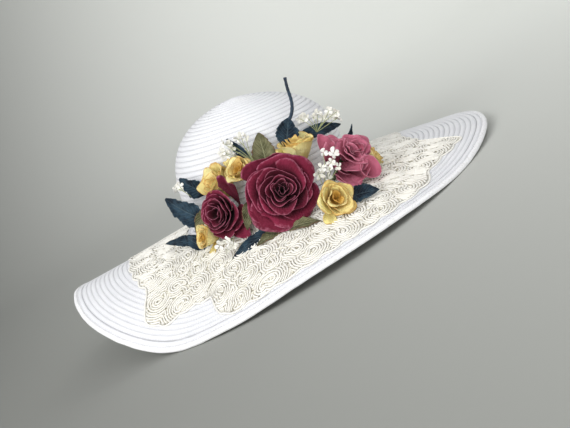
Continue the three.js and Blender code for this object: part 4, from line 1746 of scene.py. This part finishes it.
@dataclass(frozen=True)
class Flower:
    """One cloth flower: where its face is, which way it looks, and its heads of petals."""

    node: str
    hue: Hue
    heads: tuple[Head, ...]
    x: float
    y: float
    z: float
    lean: float
    turn: float
    radius: float
    depth: float
    scatter: float = 12.0
    root: float = 1.5
    neck: float = 0.62
    stem_size: float = 0.09
    stem_flare: float = 0.22

    def axes(self) -> Array:
        """The flower's right, up and outward directions as columns.

        Returns:
            A three by three matrix.
        """
        out = looking(self.lean, self.turn)
        right = unit(np.cross((0.0, 0.0, 1.0), out))
        return np.stack((right, np.cross(out, right), out), axis=-1)

    def place(self, local: Array, head: Head = Head(Form.FULL)) -> Array:
        """Points of one head's own frame in the hat's frame.

        Args:
            local: Points, with x, y and z on the last axis.
            head: The head, which moves and leans them.

        Returns:
            The points in the hat's frame.
        """
        out = unit(np.array((head.lean_right, head.lean_up, 1.0)))
        right = unit(np.cross((0.0, 1.0, 0.0), out))
        leaned = local @ np.stack((right, np.cross(out, right), out))
        moved = leaned + np.array((head.right, head.up, head.out)) * self.radius
        return moved @ self.axes().T + np.array((self.x, self.y, self.z))

    def petal(self, head: Head, ring: Ring, angle: float,
              rng: Random) -> tuple[Array, dict]:
        """One petal, cupped round the head's axis, with a soft rim that rolls outwards.

        Args:
            head: The petal's head.
            ring: The petal's ring.
            angle: Turn of its middle round the axis.
            rng: Makes it a little unlike its neighbours.

        Returns:
            The petal's grid in the hat's frame, and its painted values.
        """
        columns, rows = CUT.grid if ring.reach > CUT.inner_reach else CUT.inner_grid
        u = np.linspace(-1, 1, columns)[None, :]
        v = np.linspace(0, 1, rows)[:, None]
        peak = rng.uniform(-CUT.peak, CUT.peak)
        w = v * (1 - CUT.shoulders * np.abs(u - peak) ** 1.25 - CUT.corners * u**6)
        spread = CUT.waist + (1 - CUT.waist) * np.sin(math.pi * np.clip(0.08 + 0.52 * v, 0, 1)) ** 0.7
        phase = rng.uniform(0, 2 * math.pi, 4)
        half_turn = math.radians(ring.half_turn * rng.uniform(*CUT.widths))
        turn = math.radians(angle) + half_turn * u * spread
        roll = np.clip((w - CUT.roll_start) / CUT.roll_length, 0, 1) ** 2
        tip = ring.curl * (1 + CUT.roll_variety * rng.normal()) * roll
        out = ring.reach * (CUT.root + (1 - CUT.root) * np.sin(w * math.pi / 2) ** 0.8) + tip
        rise = -head.tall * (1 - w) ** 1.5 * (0.4 + ring.reach) + ring.rise * w**1.3 - tip * 0.6
        ruffle = ring.ruffle * w**3
        slant = rng.uniform(*CUT.slants)
        out = out + ruffle * np.sin(1.3 * math.pi * u + phase[0]) + slant * u * ring.reach * w
        rise = rise + ruffle * np.sin(2 * math.pi * u + phase[1]) + 0.25 * ruffle * np.sin(8 * u + phase[2])
        pleats = CUT.pleat_depth * np.sin(7 * u + phase[3]) * v**1.5
        crease = CUT.crease_depth * ring.reach * np.exp(-(((u - peak) / CUT.crease_width) ** 2)) * v
        out = (out - crease + pleats) * (1 + CUT.reach_step * rng.uniform(*CUT.reaches))
        rise = rise + CUT.rise_variety * rng.normal()
        local = np.stack((out * np.cos(turn), out * np.sin(turn), rise), axis=-1)
        # Painted shade towards the petal's root, deep in the flower
        base_shade = np.clip((CUT.heart_end - v) / CUT.heart_length, 0, 1) ** 1.3
        painted = {
            "rim": np.maximum(v, np.abs(u) ** 5 * v**0.3),
            "side": np.broadcast_to(u, out.shape),
            "heart": np.broadcast_to(np.clip(ring.heart + base_shade, 0, 1), out.shape),
            "tone": np.full(out.shape, abs(rng.normal()) * CUT.tone_variety),
        }
        return self.place(local * self.radius * head.size, head), painted

    def build(self, wardrobe: Wardrobe, seed: int) -> None:
        """Builds the flower's petals, its calyx and its short stem.

        Args:
            wardrobe: The finishes.
            seed: Picks this flower's small differences.
        """
        rng = np.random.default_rng(seed)
        patch = Patchwork()
        for head in self.heads:
            for number, ring in enumerate(head.form.value):
                for i in range(ring.count):
                    angle = head.spin + (i + 0.5 * (number % 2)) * 360 / ring.count
                    angle += rng.uniform(-self.scatter, self.scatter)
                    grid, painted = self.petal(head, ring, angle, rng)
                    patch.add_shell(grid, CUT.wall, **painted)
        share = np.linspace(0, 1, 7)
        length = self.depth - self.root - self.neck * self.radius
        height = -self.depth + self.root + length * share
        axis = self.place(np.stack((share * 0, share * 0, height), axis=-1))
        radius = self.radius * (self.stem_size + self.stem_flare * share**2)
        patch.add_tube(axis, radius, 10, slot=1, rim=0.0, side=0.0, heart=0.0, tone=0.0)
        materials = [wardrobe.petals[self.hue], wardrobe.calyx]
        patch.to_object(f"{self.node}_petals", materials, [self.node])


FLOWERS = (
    Flower("wine_rose_large", Hue.WINE, (Head(Form.FULL, -0.03, 0.0, 0.0, 1.0, 10),),
           -150, -11, 27, 18, 0, 36.5, 62),
    Flower("wine_rose_small", Hue.WINE, (
        Head(Form.TIGHT, -0.02, -0.02, 0.04, 0.94, 50, -0.3, 0.1),
        Head(Form.TONGUE, 0.8, -0.2, 0.3, 1.3, 92, 0.0, 0.0, 0.5),
        Head(Form.LOBE, 0.3, -0.35, 0.0, 1.0, -64, 0.1, -0.1, 0.5),
        Head(Form.PETAL, 0.1, -0.1, -0.05, 1.0, -45, 0.2, 0.0, 0.6)), -110, 59, 26, 12, 20, 25, 34),
    Flower("pink_rose", Hue.PINK, (
        Head(Form.TONGUE, -0.66, 0.1, 0.1, 1.0, 80, -0.1, 0.0, 0.5),
        Head(Form.TONGUE, -0.45, 0.1, 0.0, 0.85, 70, -0.2, 0.1, 0.6),
        Head(Form.PETAL, -0.1, 0.2, 0.0, 0.75, 75, 0.1, 0.2, 0.6),
        Head(Form.PETAL, 0.0, 0.3, 0.12, 0.5, 50, 0.2, 0.2, 0.6),
        Head(Form.OPEN, 0.42, 0.25, 0.1, 0.54, 50, 0.1, 0.1),
        Head(Form.PETAL, 0.35, 0.1, 0.0, 0.75, 10, 0.3, 0.1, 0.6),
        Head(Form.BOWL, 0.42, -0.66, 0.12, 0.48, -60, 0.2, 0.0, 0.6),
        Head(Form.PETAL, -0.12, 0.25, 0.12, 0.75, -78, 0.1, -0.1, 0.7),
        Head(Form.PETAL, 0.05, -0.25, 0.1, 0.55, -30, 0.1, 0.0, 0.8),
        Head(Form.PAIR, -0.05, 0.05, 0.0, 0.85, -95, 0.0, -0.1, 0.8),
        Head(Form.PETAL, -0.2, 0.0, 0.05, 0.75, -120, -0.2, -0.2, 0.7)), -126, -86, 22, 22, -22, 29, 58),
    Flower("yellow_rose_low_front", Hue.YELLOW, (
        Head(Form.OPEN, 0.08, 0.05, 0.0, 1.0, 0, 0.15, 0.0),
        Head(Form.PETAL, -0.4, -0.35, 0.0, 0.8, -125, -0.3, -0.4, 0.6)), -182, -54, 3, 18, -12, 18, 42),
    Flower("yellow_rose_top", Hue.YELLOW, (
        Head(Form.CUP, 0.05, 0.05, 0.0, 1.05, 35, 0.2, 0.55, 1.0),
        Head(Form.PETAL, -0.3, -0.05, 0.0, 0.95, 160, -0.1, 0.4, 0.7)),
           -96, -45, 55, 50, -10, 18, 30),
    Flower("yellow_rose_front_edge", Hue.YELLOW, (
        Head(Form.CUP, 0.1, 0.1, 0.0, 0.95, 15, 0.5, 0.1, 0.9),), -102, -114, 11, 15, -55, 15, 28),
    Flower("yellow_bud_top", Hue.YELLOW, (
        Head(Form.OPEN, 0.0, 0.1, 0.0, 1.0, 70, -0.2, 0.2, 0.6),
        Head(Form.PETAL, 0.25, -0.1, -0.1, 1.3, -40, 0.1, -0.2, 0.6),
        Head(Form.LOBE, 0.0, 0.1, 0.0, 1.25, 120, -0.2, 0.2, 0.6)),
           -103, 22, 57, 30, 5, 15, 24),
    Flower("yellow_rose_back", Hue.YELLOW, (
        Head(Form.CUP, -0.12, 0.0, -0.1, 1.0, 25, -0.3, 0.15, 1.1),
        Head(Form.PETAL, 0.2, -0.25, 0.0, 1.25, 75, 0.1, 0.1, 0.8),
        Head(Form.PETAL, 0.3, -0.4, -0.05, 1.1, -10, 0.1, 0.2, 0.8)), -88, 52, 55, 40, 35, 19, 24),
    Flower("yellow_rose_low_back", Hue.YELLOW, (
        Head(Form.CUP, 0.0, 0.15, 0.0, 0.9, 5, -0.2, 0.5, 0.9),
        Head(Form.PETAL, 0.1, -0.4, 0.0, 0.9, -80, 0.0, -0.3, 0.6)), -103, 85, 6, 5, 50, 15, 30),
)


@dataclass(frozen=True)
class Leaf:
    """One cloth leaf, from its stalk to its point."""

    node: str
    hue: Hue
    start: Triple
    end: Triple
    width: float
    fold: float
    lean: float
    turn: float
    teeth: int = 8
    wall: float = 0.8
    sag: float = 0.08
    crumple: float = 0.07
    tooth_depth: float = 0.13
    end_width: float = 0.04
    narrowing: float = 0.25
    rows: int = 49
    columns: int = 17
    rib_rows: int = 41
    rib_radii: Pair = (0.75, 0.2)

    def build(self, wardrobe: Wardrobe, seed: int) -> None:
        """Builds the leaf with its toothed edge, its ripples and its stalk.

        Args:
            wardrobe: The finishes.
            seed: Picks this leaf's small differences.
        """
        rng = np.random.default_rng(seed)
        start, end = np.array(self.start, float), np.array(self.end, float)
        length = float(np.linalg.norm(end - start))
        out = looking(self.lean, self.turn)
        along = (end - start) / length
        face = unit(out - along * (out @ along))
        across = np.cross(face, along)
        share = np.linspace(0, 1, self.rows)[:, None]
        side = np.linspace(-1, 1, self.columns)[None, :]
        outline = np.sin(math.pi * share**0.78) ** 0.75 * (1 - self.narrowing * share)
        teeth = 1 - self.tooth_depth * np.mod(self.teeth * share, 1.0) * np.abs(side) ** 8
        half = (self.end_width + 0.98 * outline) * self.width / 2 * teeth
        phase = rng.uniform(0, 2 * math.pi, 2)
        sag = -length * self.sag * (2 * share - 1) ** 2
        cup = self.fold * np.abs(side) ** 1.3 * half / (self.width / 2)
        ripple = self.fold * 0.3 * np.sin(2.5 * math.pi * share + phase[0]) * side
        slow = np.sin(13 * share + phase[1] + 2.5 * side) * side**2
        fast = np.sin(27 * share - 3 * side + phase[0]) * np.abs(side)
        frill = self.width * self.crumple * slow + self.width * 0.5 * self.crumple * fast
        height = sag + cup + ripple + frill * np.sin(math.pi * share)
        steps = ((share * length, along), (half * side, across), (height, face))
        grid = start + sum(reach[..., None] * way for reach, way in steps)
        patch = Patchwork()
        patch.add_shell(grid, self.wall, along=np.broadcast_to(share, height.shape),
                        side=np.broadcast_to(side, height.shape))
        middle = self.columns // 2
        rib = grid[:self.rib_rows, middle] - face * self.wall * 0.5
        patch.add_tube(rib, np.linspace(*self.rib_radii, self.rib_rows), 6, along=0.5, side=0.0)
        self.add_stalk(patch, grid[1, middle])
        materials = [wardrobe.leaves[self.hue]]
        patch.to_object(f"{self.node}_cloth", materials, [self.node])

    @staticmethod
    def add_stalk(patch: Patchwork, start: Array) -> None:
        """Adds the stalk that leads from the leaf into the crown's side or down to the brim.

        Args:
            patch: Where the leaf is gathered.
            start: The leaf's foot.
        """
        high, inward, down, radius = 10, (0.8, 0.8, 1.0), (0.0, 0.0, -3.0), 0.8
        end = start * inward if start[2] > high else start + down
        share = np.linspace(0, 1, 6)[:, None]
        patch.add_tube(start + (end - start) * share, radius, 6, along=0.5, side=0.0)


LEAVES = (
    Leaf("green_leaf_top", Hue.GREEN, (-99, -7, 44), (-84, -14, 83), 29, 3, 10, 0),
    Leaf("green_leaf_back", Hue.GREEN, (-90, 69, 33), (-88, 93, 14), 16, 2, 15, 35),
    Leaf("green_leaf_between", Hue.GREEN, (-120, 25, 26), (-132, 39, 2), 15, 2, 10, 0),
    Leaf("green_leaf_low", Hue.GREEN, (-146, 4, -9), (-156, 36, -11), 14, 2, 50, 10),
    Leaf("green_leaf_low_front", Hue.GREEN, (-160, 0, -8), (-174, -32, -11), 15, 2, 55, -5),
    Leaf("navy_leaf_back_upper", Hue.NAVY, (-68, 66, 44), (-64, 86, 70), 24, 3, 5, 30),
    Leaf("navy_leaf_back_large", Hue.NAVY, (-82, 78, 18), (-66, 110, 57), 30, 4, 5, 25),
    Leaf("navy_leaf_back_low", Hue.NAVY, (-78, 86, 0), (-60, 131, 12), 14, 2, 30, 15),
    Leaf("navy_leaf_back_inner", Hue.NAVY, (-90, 92, -5), (-80, 106, 14), 15, 2, 10, 30),
    Leaf("navy_leaf_top", Hue.NAVY, (-92, -35, 58), (-76, -51, 83), 28, 3, 15, -10),
    Leaf("navy_leaf_top_front", Hue.NAVY, (-80, -54, 60), (-60, -103, 50), 16, 2, 10, -25),
    Leaf("navy_leaf_low_front", Hue.NAVY, (-160, -68, -6), (-176, -97, -7), 22, 3, 40, -10),
    Leaf("navy_leaf_low", Hue.NAVY, (-138, 10, -7), (-142, 65, -15), 18, 2, 45, 10),
    Leaf("navy_curl_top", Hue.NAVY, (-96, 6, 60), (-82, 20, 91), 11, 3, 0, 0),
    Leaf("navy_curl_front", Hue.NAVY, (-62, -97, 26), (-60, -113, 44), 6, 1.5, 0, -30),
)


@dataclass
class Stem:
    """The bare stem that stands up from behind the top leaf."""

    path: tuple[Triple, ...] = (
        (-72, -47, 77), (-78, -55, 84), (-80, -60, 94), (-82, -61.5, 104), (-84, -61.5, 110),
        (-86, -62.5, 117), (-87, -64, 124))
    points: int = 60
    soft_rounds: int = 30
    radius_at: tuple[float, ...] = (0, 0.35, 0.93, 1)
    radii: tuple[float, ...] = (1.9, 1.9, 1.6, 1.9)
    knobs: float = 0.05

    def build(self, wardrobe: Wardrobe) -> None:
        """Builds the stem, which swells a little at its cut end.

        Args:
            wardrobe: The finishes.
        """
        knots = np.array(self.path)
        steps = np.concatenate(([0], np.cumsum(np.linalg.norm(np.diff(knots, axis=0), axis=1))))
        even = np.linspace(0, steps[-1], self.points)
        line = np.stack([np.interp(even, steps, knots[:, k]) for k in range(3)], axis=-1)
        for _ in range(self.soft_rounds):
            line[1:-1] = (line[:-2] + 2 * line[1:-1] + line[2:]) / 4
        radius = np.interp(even / steps[-1], self.radius_at, self.radii)
        patch = Patchwork()
        patch.add_tube(line, radius * (1 + self.knobs * np.sin(even * 1.1)), 12)
        patch.to_object("navy_stem_cut", [wardrobe.navy_stem], ["navy_stem"])


@dataclass(frozen=True)
class Sprig:
    """Small white blossoms on thin stems that leave one stalk. All of them lie at one distance x."""

    node: str
    root: Triple
    x: float
    blossoms: tuple[Pair, ...]
    size: float = 5.4
    sizes: Pair = (0.8, 1.2)
    petal_wall: float = 0.4
    half_width: float = 0.62
    cups: Pair = (0.1, 0.75)
    stem_radius: float = 0.32
    scatter: float = 0.5

    def blossom(self, rng: Random, patch: Patchwork, place: Array,
                out: Array) -> None:
        """Adds one blossom of crumpled petals.

        Args:
            rng: Makes it a little unlike the others.
            patch: Where the sprig is gathered.
            place: The blossom's middle.
            out: Where it looks.
        """
        right = unit(np.cross((0.1, 0.2, 0.95), out))
        up = np.cross(out, right)
        petals = int(rng.integers(4, 6))
        size = self.size * rng.uniform(*self.sizes)
        u = np.linspace(-1, 1, 5)[None, :]
        v = np.linspace(0, 1, 4)[:, None]
        for i in range(petals):
            angle = 2 * math.pi * (i + rng.uniform(-0.2, 0.2)) / petals
            spread = angle + self.half_width * u * np.sin(math.pi * (0.2 + 0.55 * v))
            reach = size * (0.08 + 0.92 * v) * (1 - 0.18 * u**2)
            cup = size * (rng.uniform(*self.cups) * v**2 + 0.2 * rng.normal() * v * u)
            steps = ((reach * np.cos(spread), right), (reach * np.sin(spread), up), (cup, out))
            patch.add_shell(place + sum(step[..., None] * way for step, way in steps), self.petal_wall)

    def build(self, wardrobe: Wardrobe, seed: int) -> None:
        """Builds the blossoms and their stems.

        Args:
            wardrobe: The finishes.
            seed: Picks this sprig's small differences.
        """
        rng = np.random.default_rng(seed)
        root = np.array(self.root, float)
        patch = Patchwork()
        share = np.linspace(0, 1, 9)[:, None]
        for y, z in self.blossoms:
            place = np.array((self.x, y, z))
            bend = np.array((-3.0, rng.uniform(-2, 2), rng.uniform(-1, 3)))
            stem = root + (place - root) * share + bend * np.sin(math.pi * share)
            patch.add_tube(stem, self.stem_radius, 5, slot=1)
            out = unit(np.array((-1.0, 0.0, 0.35)) + self.scatter * rng.normal(size=3))
            self.blossom(rng, patch, place, out)
        materials = [wardrobe.blossom, wardrobe.pale_stem]
        patch.to_object(f"{self.node}_blossoms", materials, [self.node])


SPRIGS = (
    Sprig("white_sprig_top_back", (-100, 3, 57), -90, (
        (30, 81), (27, 76), (20, 79), (18, 85), (9, 87), (4, 88), (0, 84), (24, 88), (18, 70))),
    Sprig("white_sprig_front", (-157, -48, 8), -166, (
        (-63, 47), (-72, 42), (-66, 35), (-71, 28), (-55, 34), (-50, 30), (-57, 21), (-61, 29))),
    Sprig("white_sprig_low", (-130, 56, -1), -141, ((71, 1), (61, 0), (59, -5), (67, -6))),
    Sprig("white_sprig_top_front", (-76, -72, 55), -70, (
        (-62, 75), (-69, 75), (-76, 71), (-82, 72), (-85, 66), (-94, 70), (-94, 62), (-101, 65),
        (-101, 59))),
    Sprig("white_sprig_back", (-70, 81, 48), -64, ((92, 62), (88, 63))),
)


@dataclass(frozen=True)
class Lamp:
    """One soft square light. Its place, size and target are in metres, and its power in watts."""

    name: str
    place: Triple
    size: float
    power: float
    target: Triple = (0.0, 0.0, 0.08)

    def build(self) -> None:
        """Hangs the light so that it looks at its target."""
        data = bpy.data.lights.new(self.name, "AREA")
        data.size = self.size
        data.energy = self.power
        light = bpy.data.objects.new(self.name, data)
        bpy.context.scene.collection.objects.link(light)
        light.location = self.place
        way = Vector(self.target) - light.location
        light.rotation_euler = way.to_track_quat("-Z", "Y").to_euler()


# A key light from the photo's left, a wide fill, a low light in front and a wash on the backdrop
LAMPS = (
    Lamp("key_light", (-1.3, 1.3, 1.3), size=1.2, power=26.0),
    Lamp("fill_light", (-2.2, -0.4, 0.8), size=2.6, power=30.0),
    Lamp("low_light", (-1.9, 0.3, 0.2), size=0.6, power=4.5),
    Lamp("wall_light", (0.9, -1.9, 2.2), size=1.2, power=14.0, target=(2.6, -1.3, 1.0)),
)


@dataclass
class Studio:
    """The floor, painted with a gradient of shade and light, the soft lights and the camera at the photo's
    angle.
    """

    elevation: float = 10.688
    side_turn: float = -0.216
    roll: float = -24.924
    distance: float = 1.105
    lens: float = 59.55
    sensor: float = 36.0
    hat_right_px: float = -13.2
    hat_up_px: float = 20.1
    # The ends of the backdrop's painted gradient of shade and light
    painted_shade_floor: Colour = srgb(126, 127, 122)
    painted_light_floor: Colour = srgb(252, 254, 247)
    painted_light_way: Triple = (0.36, -0.85, -0.42)
    painted_light_band: Pair = (-0.55, 0.85)
    sky: Colour = (0.95, 0.96, 1.0, 1.0)
    sky_strength: float = 0.42
    near_end: float = -6.0
    far_end: float = 2.6
    bend_radius: float = 1.6
    height: float = 4.5
    half_width: float = 7.0
    floor_gap: float = 0.0004
    clip_start: float = 0.05

    def build(self) -> None:
        """Builds the camera, the lights and the backdrop."""
        self.build_camera()
        self.build_lights()
        self.build_backdrop()

    def view_axes(self) -> Matrix:
        """The camera's right, up and backward directions in the hat's frame, as columns.

        Returns:
            A three by three matrix.
        """
        roll = math.radians(self.roll)
        back = Vector(looking(self.elevation, -self.side_turn))
        right = Vector((0, 0, 1)).cross(back).normalized()
        up = back.cross(right)
        turned_right = right * math.cos(roll) + up * math.sin(roll)
        turned_up = up * math.cos(roll) - right * math.sin(roll)
        return Matrix((turned_right, turned_up, back)).transposed()

    def build_camera(self) -> None:
        """Places the camera as the photo was taken, with the photo's tilt."""
        data = bpy.data.cameras.new("camera")
        data.lens = self.lens
        data.sensor_width = self.sensor
        data.shift_x = -self.hat_right_px / PHOTO_WIDTH
        data.shift_y = -self.hat_up_px / PHOTO_WIDTH
        data.clip_start = self.clip_start
        camera = bpy.data.objects.new("camera", data)
        bpy.context.scene.collection.objects.link(camera)
        axes = self.view_axes()
        camera.matrix_world = (HAT.placed() @ Matrix.Translation(axes.col[2] * self.distance)
                               @ axes.to_4x4())
        bpy.context.scene.camera = camera
        bpy.context.scene.view_settings.view_transform = "Standard"

    def build_lights(self) -> None:
        """Hangs the lamps and lights everything softly from all round."""
        for lamp in LAMPS:
            lamp.build()
        world = bpy.data.worlds.new("studio")
        world.use_nodes = True
        feeds = {"Color": self.sky, "Strength": self.sky_strength}
        Graph(world.node_tree).feed(world.node_tree.nodes["Background"], feeds)
        bpy.context.scene.world = world

    def build_backdrop(self) -> None:
        """Builds a floor that rises behind the hat in one wide curve, painted darker and paler along one
        slanted direction as painted shade and light.
        """
        paint = Paint("backdrop", Surface(roughness=0.9, sheen=0.0))
        graph = paint.graph
        # Painted shade and light: the backdrop goes from dark to pale along one slanted direction
        slanted = graph.add("ShaderNodeVectorMath", {0: graph.place(), 1: self.painted_light_way},
                            operation="DOT_PRODUCT").outputs["Value"]
        painted_light = graph.band(slanted, *self.painted_light_band)
        material = paint.finish(graph.blend(painted_light, self.painted_shade_floor, self.painted_light_floor))
        far, radius = self.far_end, self.bend_radius
        profile = [(self.near_end, 0.0)]
        for a in np.linspace(0, math.pi / 2, 24):
            profile.append((far - radius + radius * math.sin(a), radius - radius * math.cos(a)))
        profile.append((far, self.height))
        sides = (-self.half_width, self.half_width)
        points = [(x, y, z - self.floor_gap) for x, z in profile for y in sides]
        faces = [(2 * i, 2 * i + 1, 2 * i + 3, 2 * i + 2) for i in range(len(profile) - 1)]
        mesh = bpy.data.meshes.new("backdrop")
        mesh.from_pydata(points, [], faces)
        mesh.polygons.foreach_set("use_smooth", [True] * len(faces))
        mesh.materials.append(material)
        backdrop = bpy.data.objects.new("backdrop", mesh)
        bpy.context.scene.collection.objects.link(backdrop)


def main() -> None:
    """Builds the studio and every piece of the hat in order."""
    logging.basicConfig(level=logging.INFO, format="%(name)s %(message)s")
    Studio().build()
    wardrobe = Wardrobe()
    for part in (Crown(), Brim(), Hem(), Lace()):
        part.build(wardrobe)
    for seed, flower in enumerate(FLOWERS):
        flower.build(wardrobe, FLOWER_SEED + seed)
    for seed, leaf in enumerate(LEAVES):
        leaf.build(wardrobe, LEAF_SEED + seed)
    Stem().build(wardrobe)
    for seed, sprig in enumerate(SPRIGS):
        sprig.build(wardrobe, SPRIG_SEED + seed)


if __name__ == "__main__":
    main()
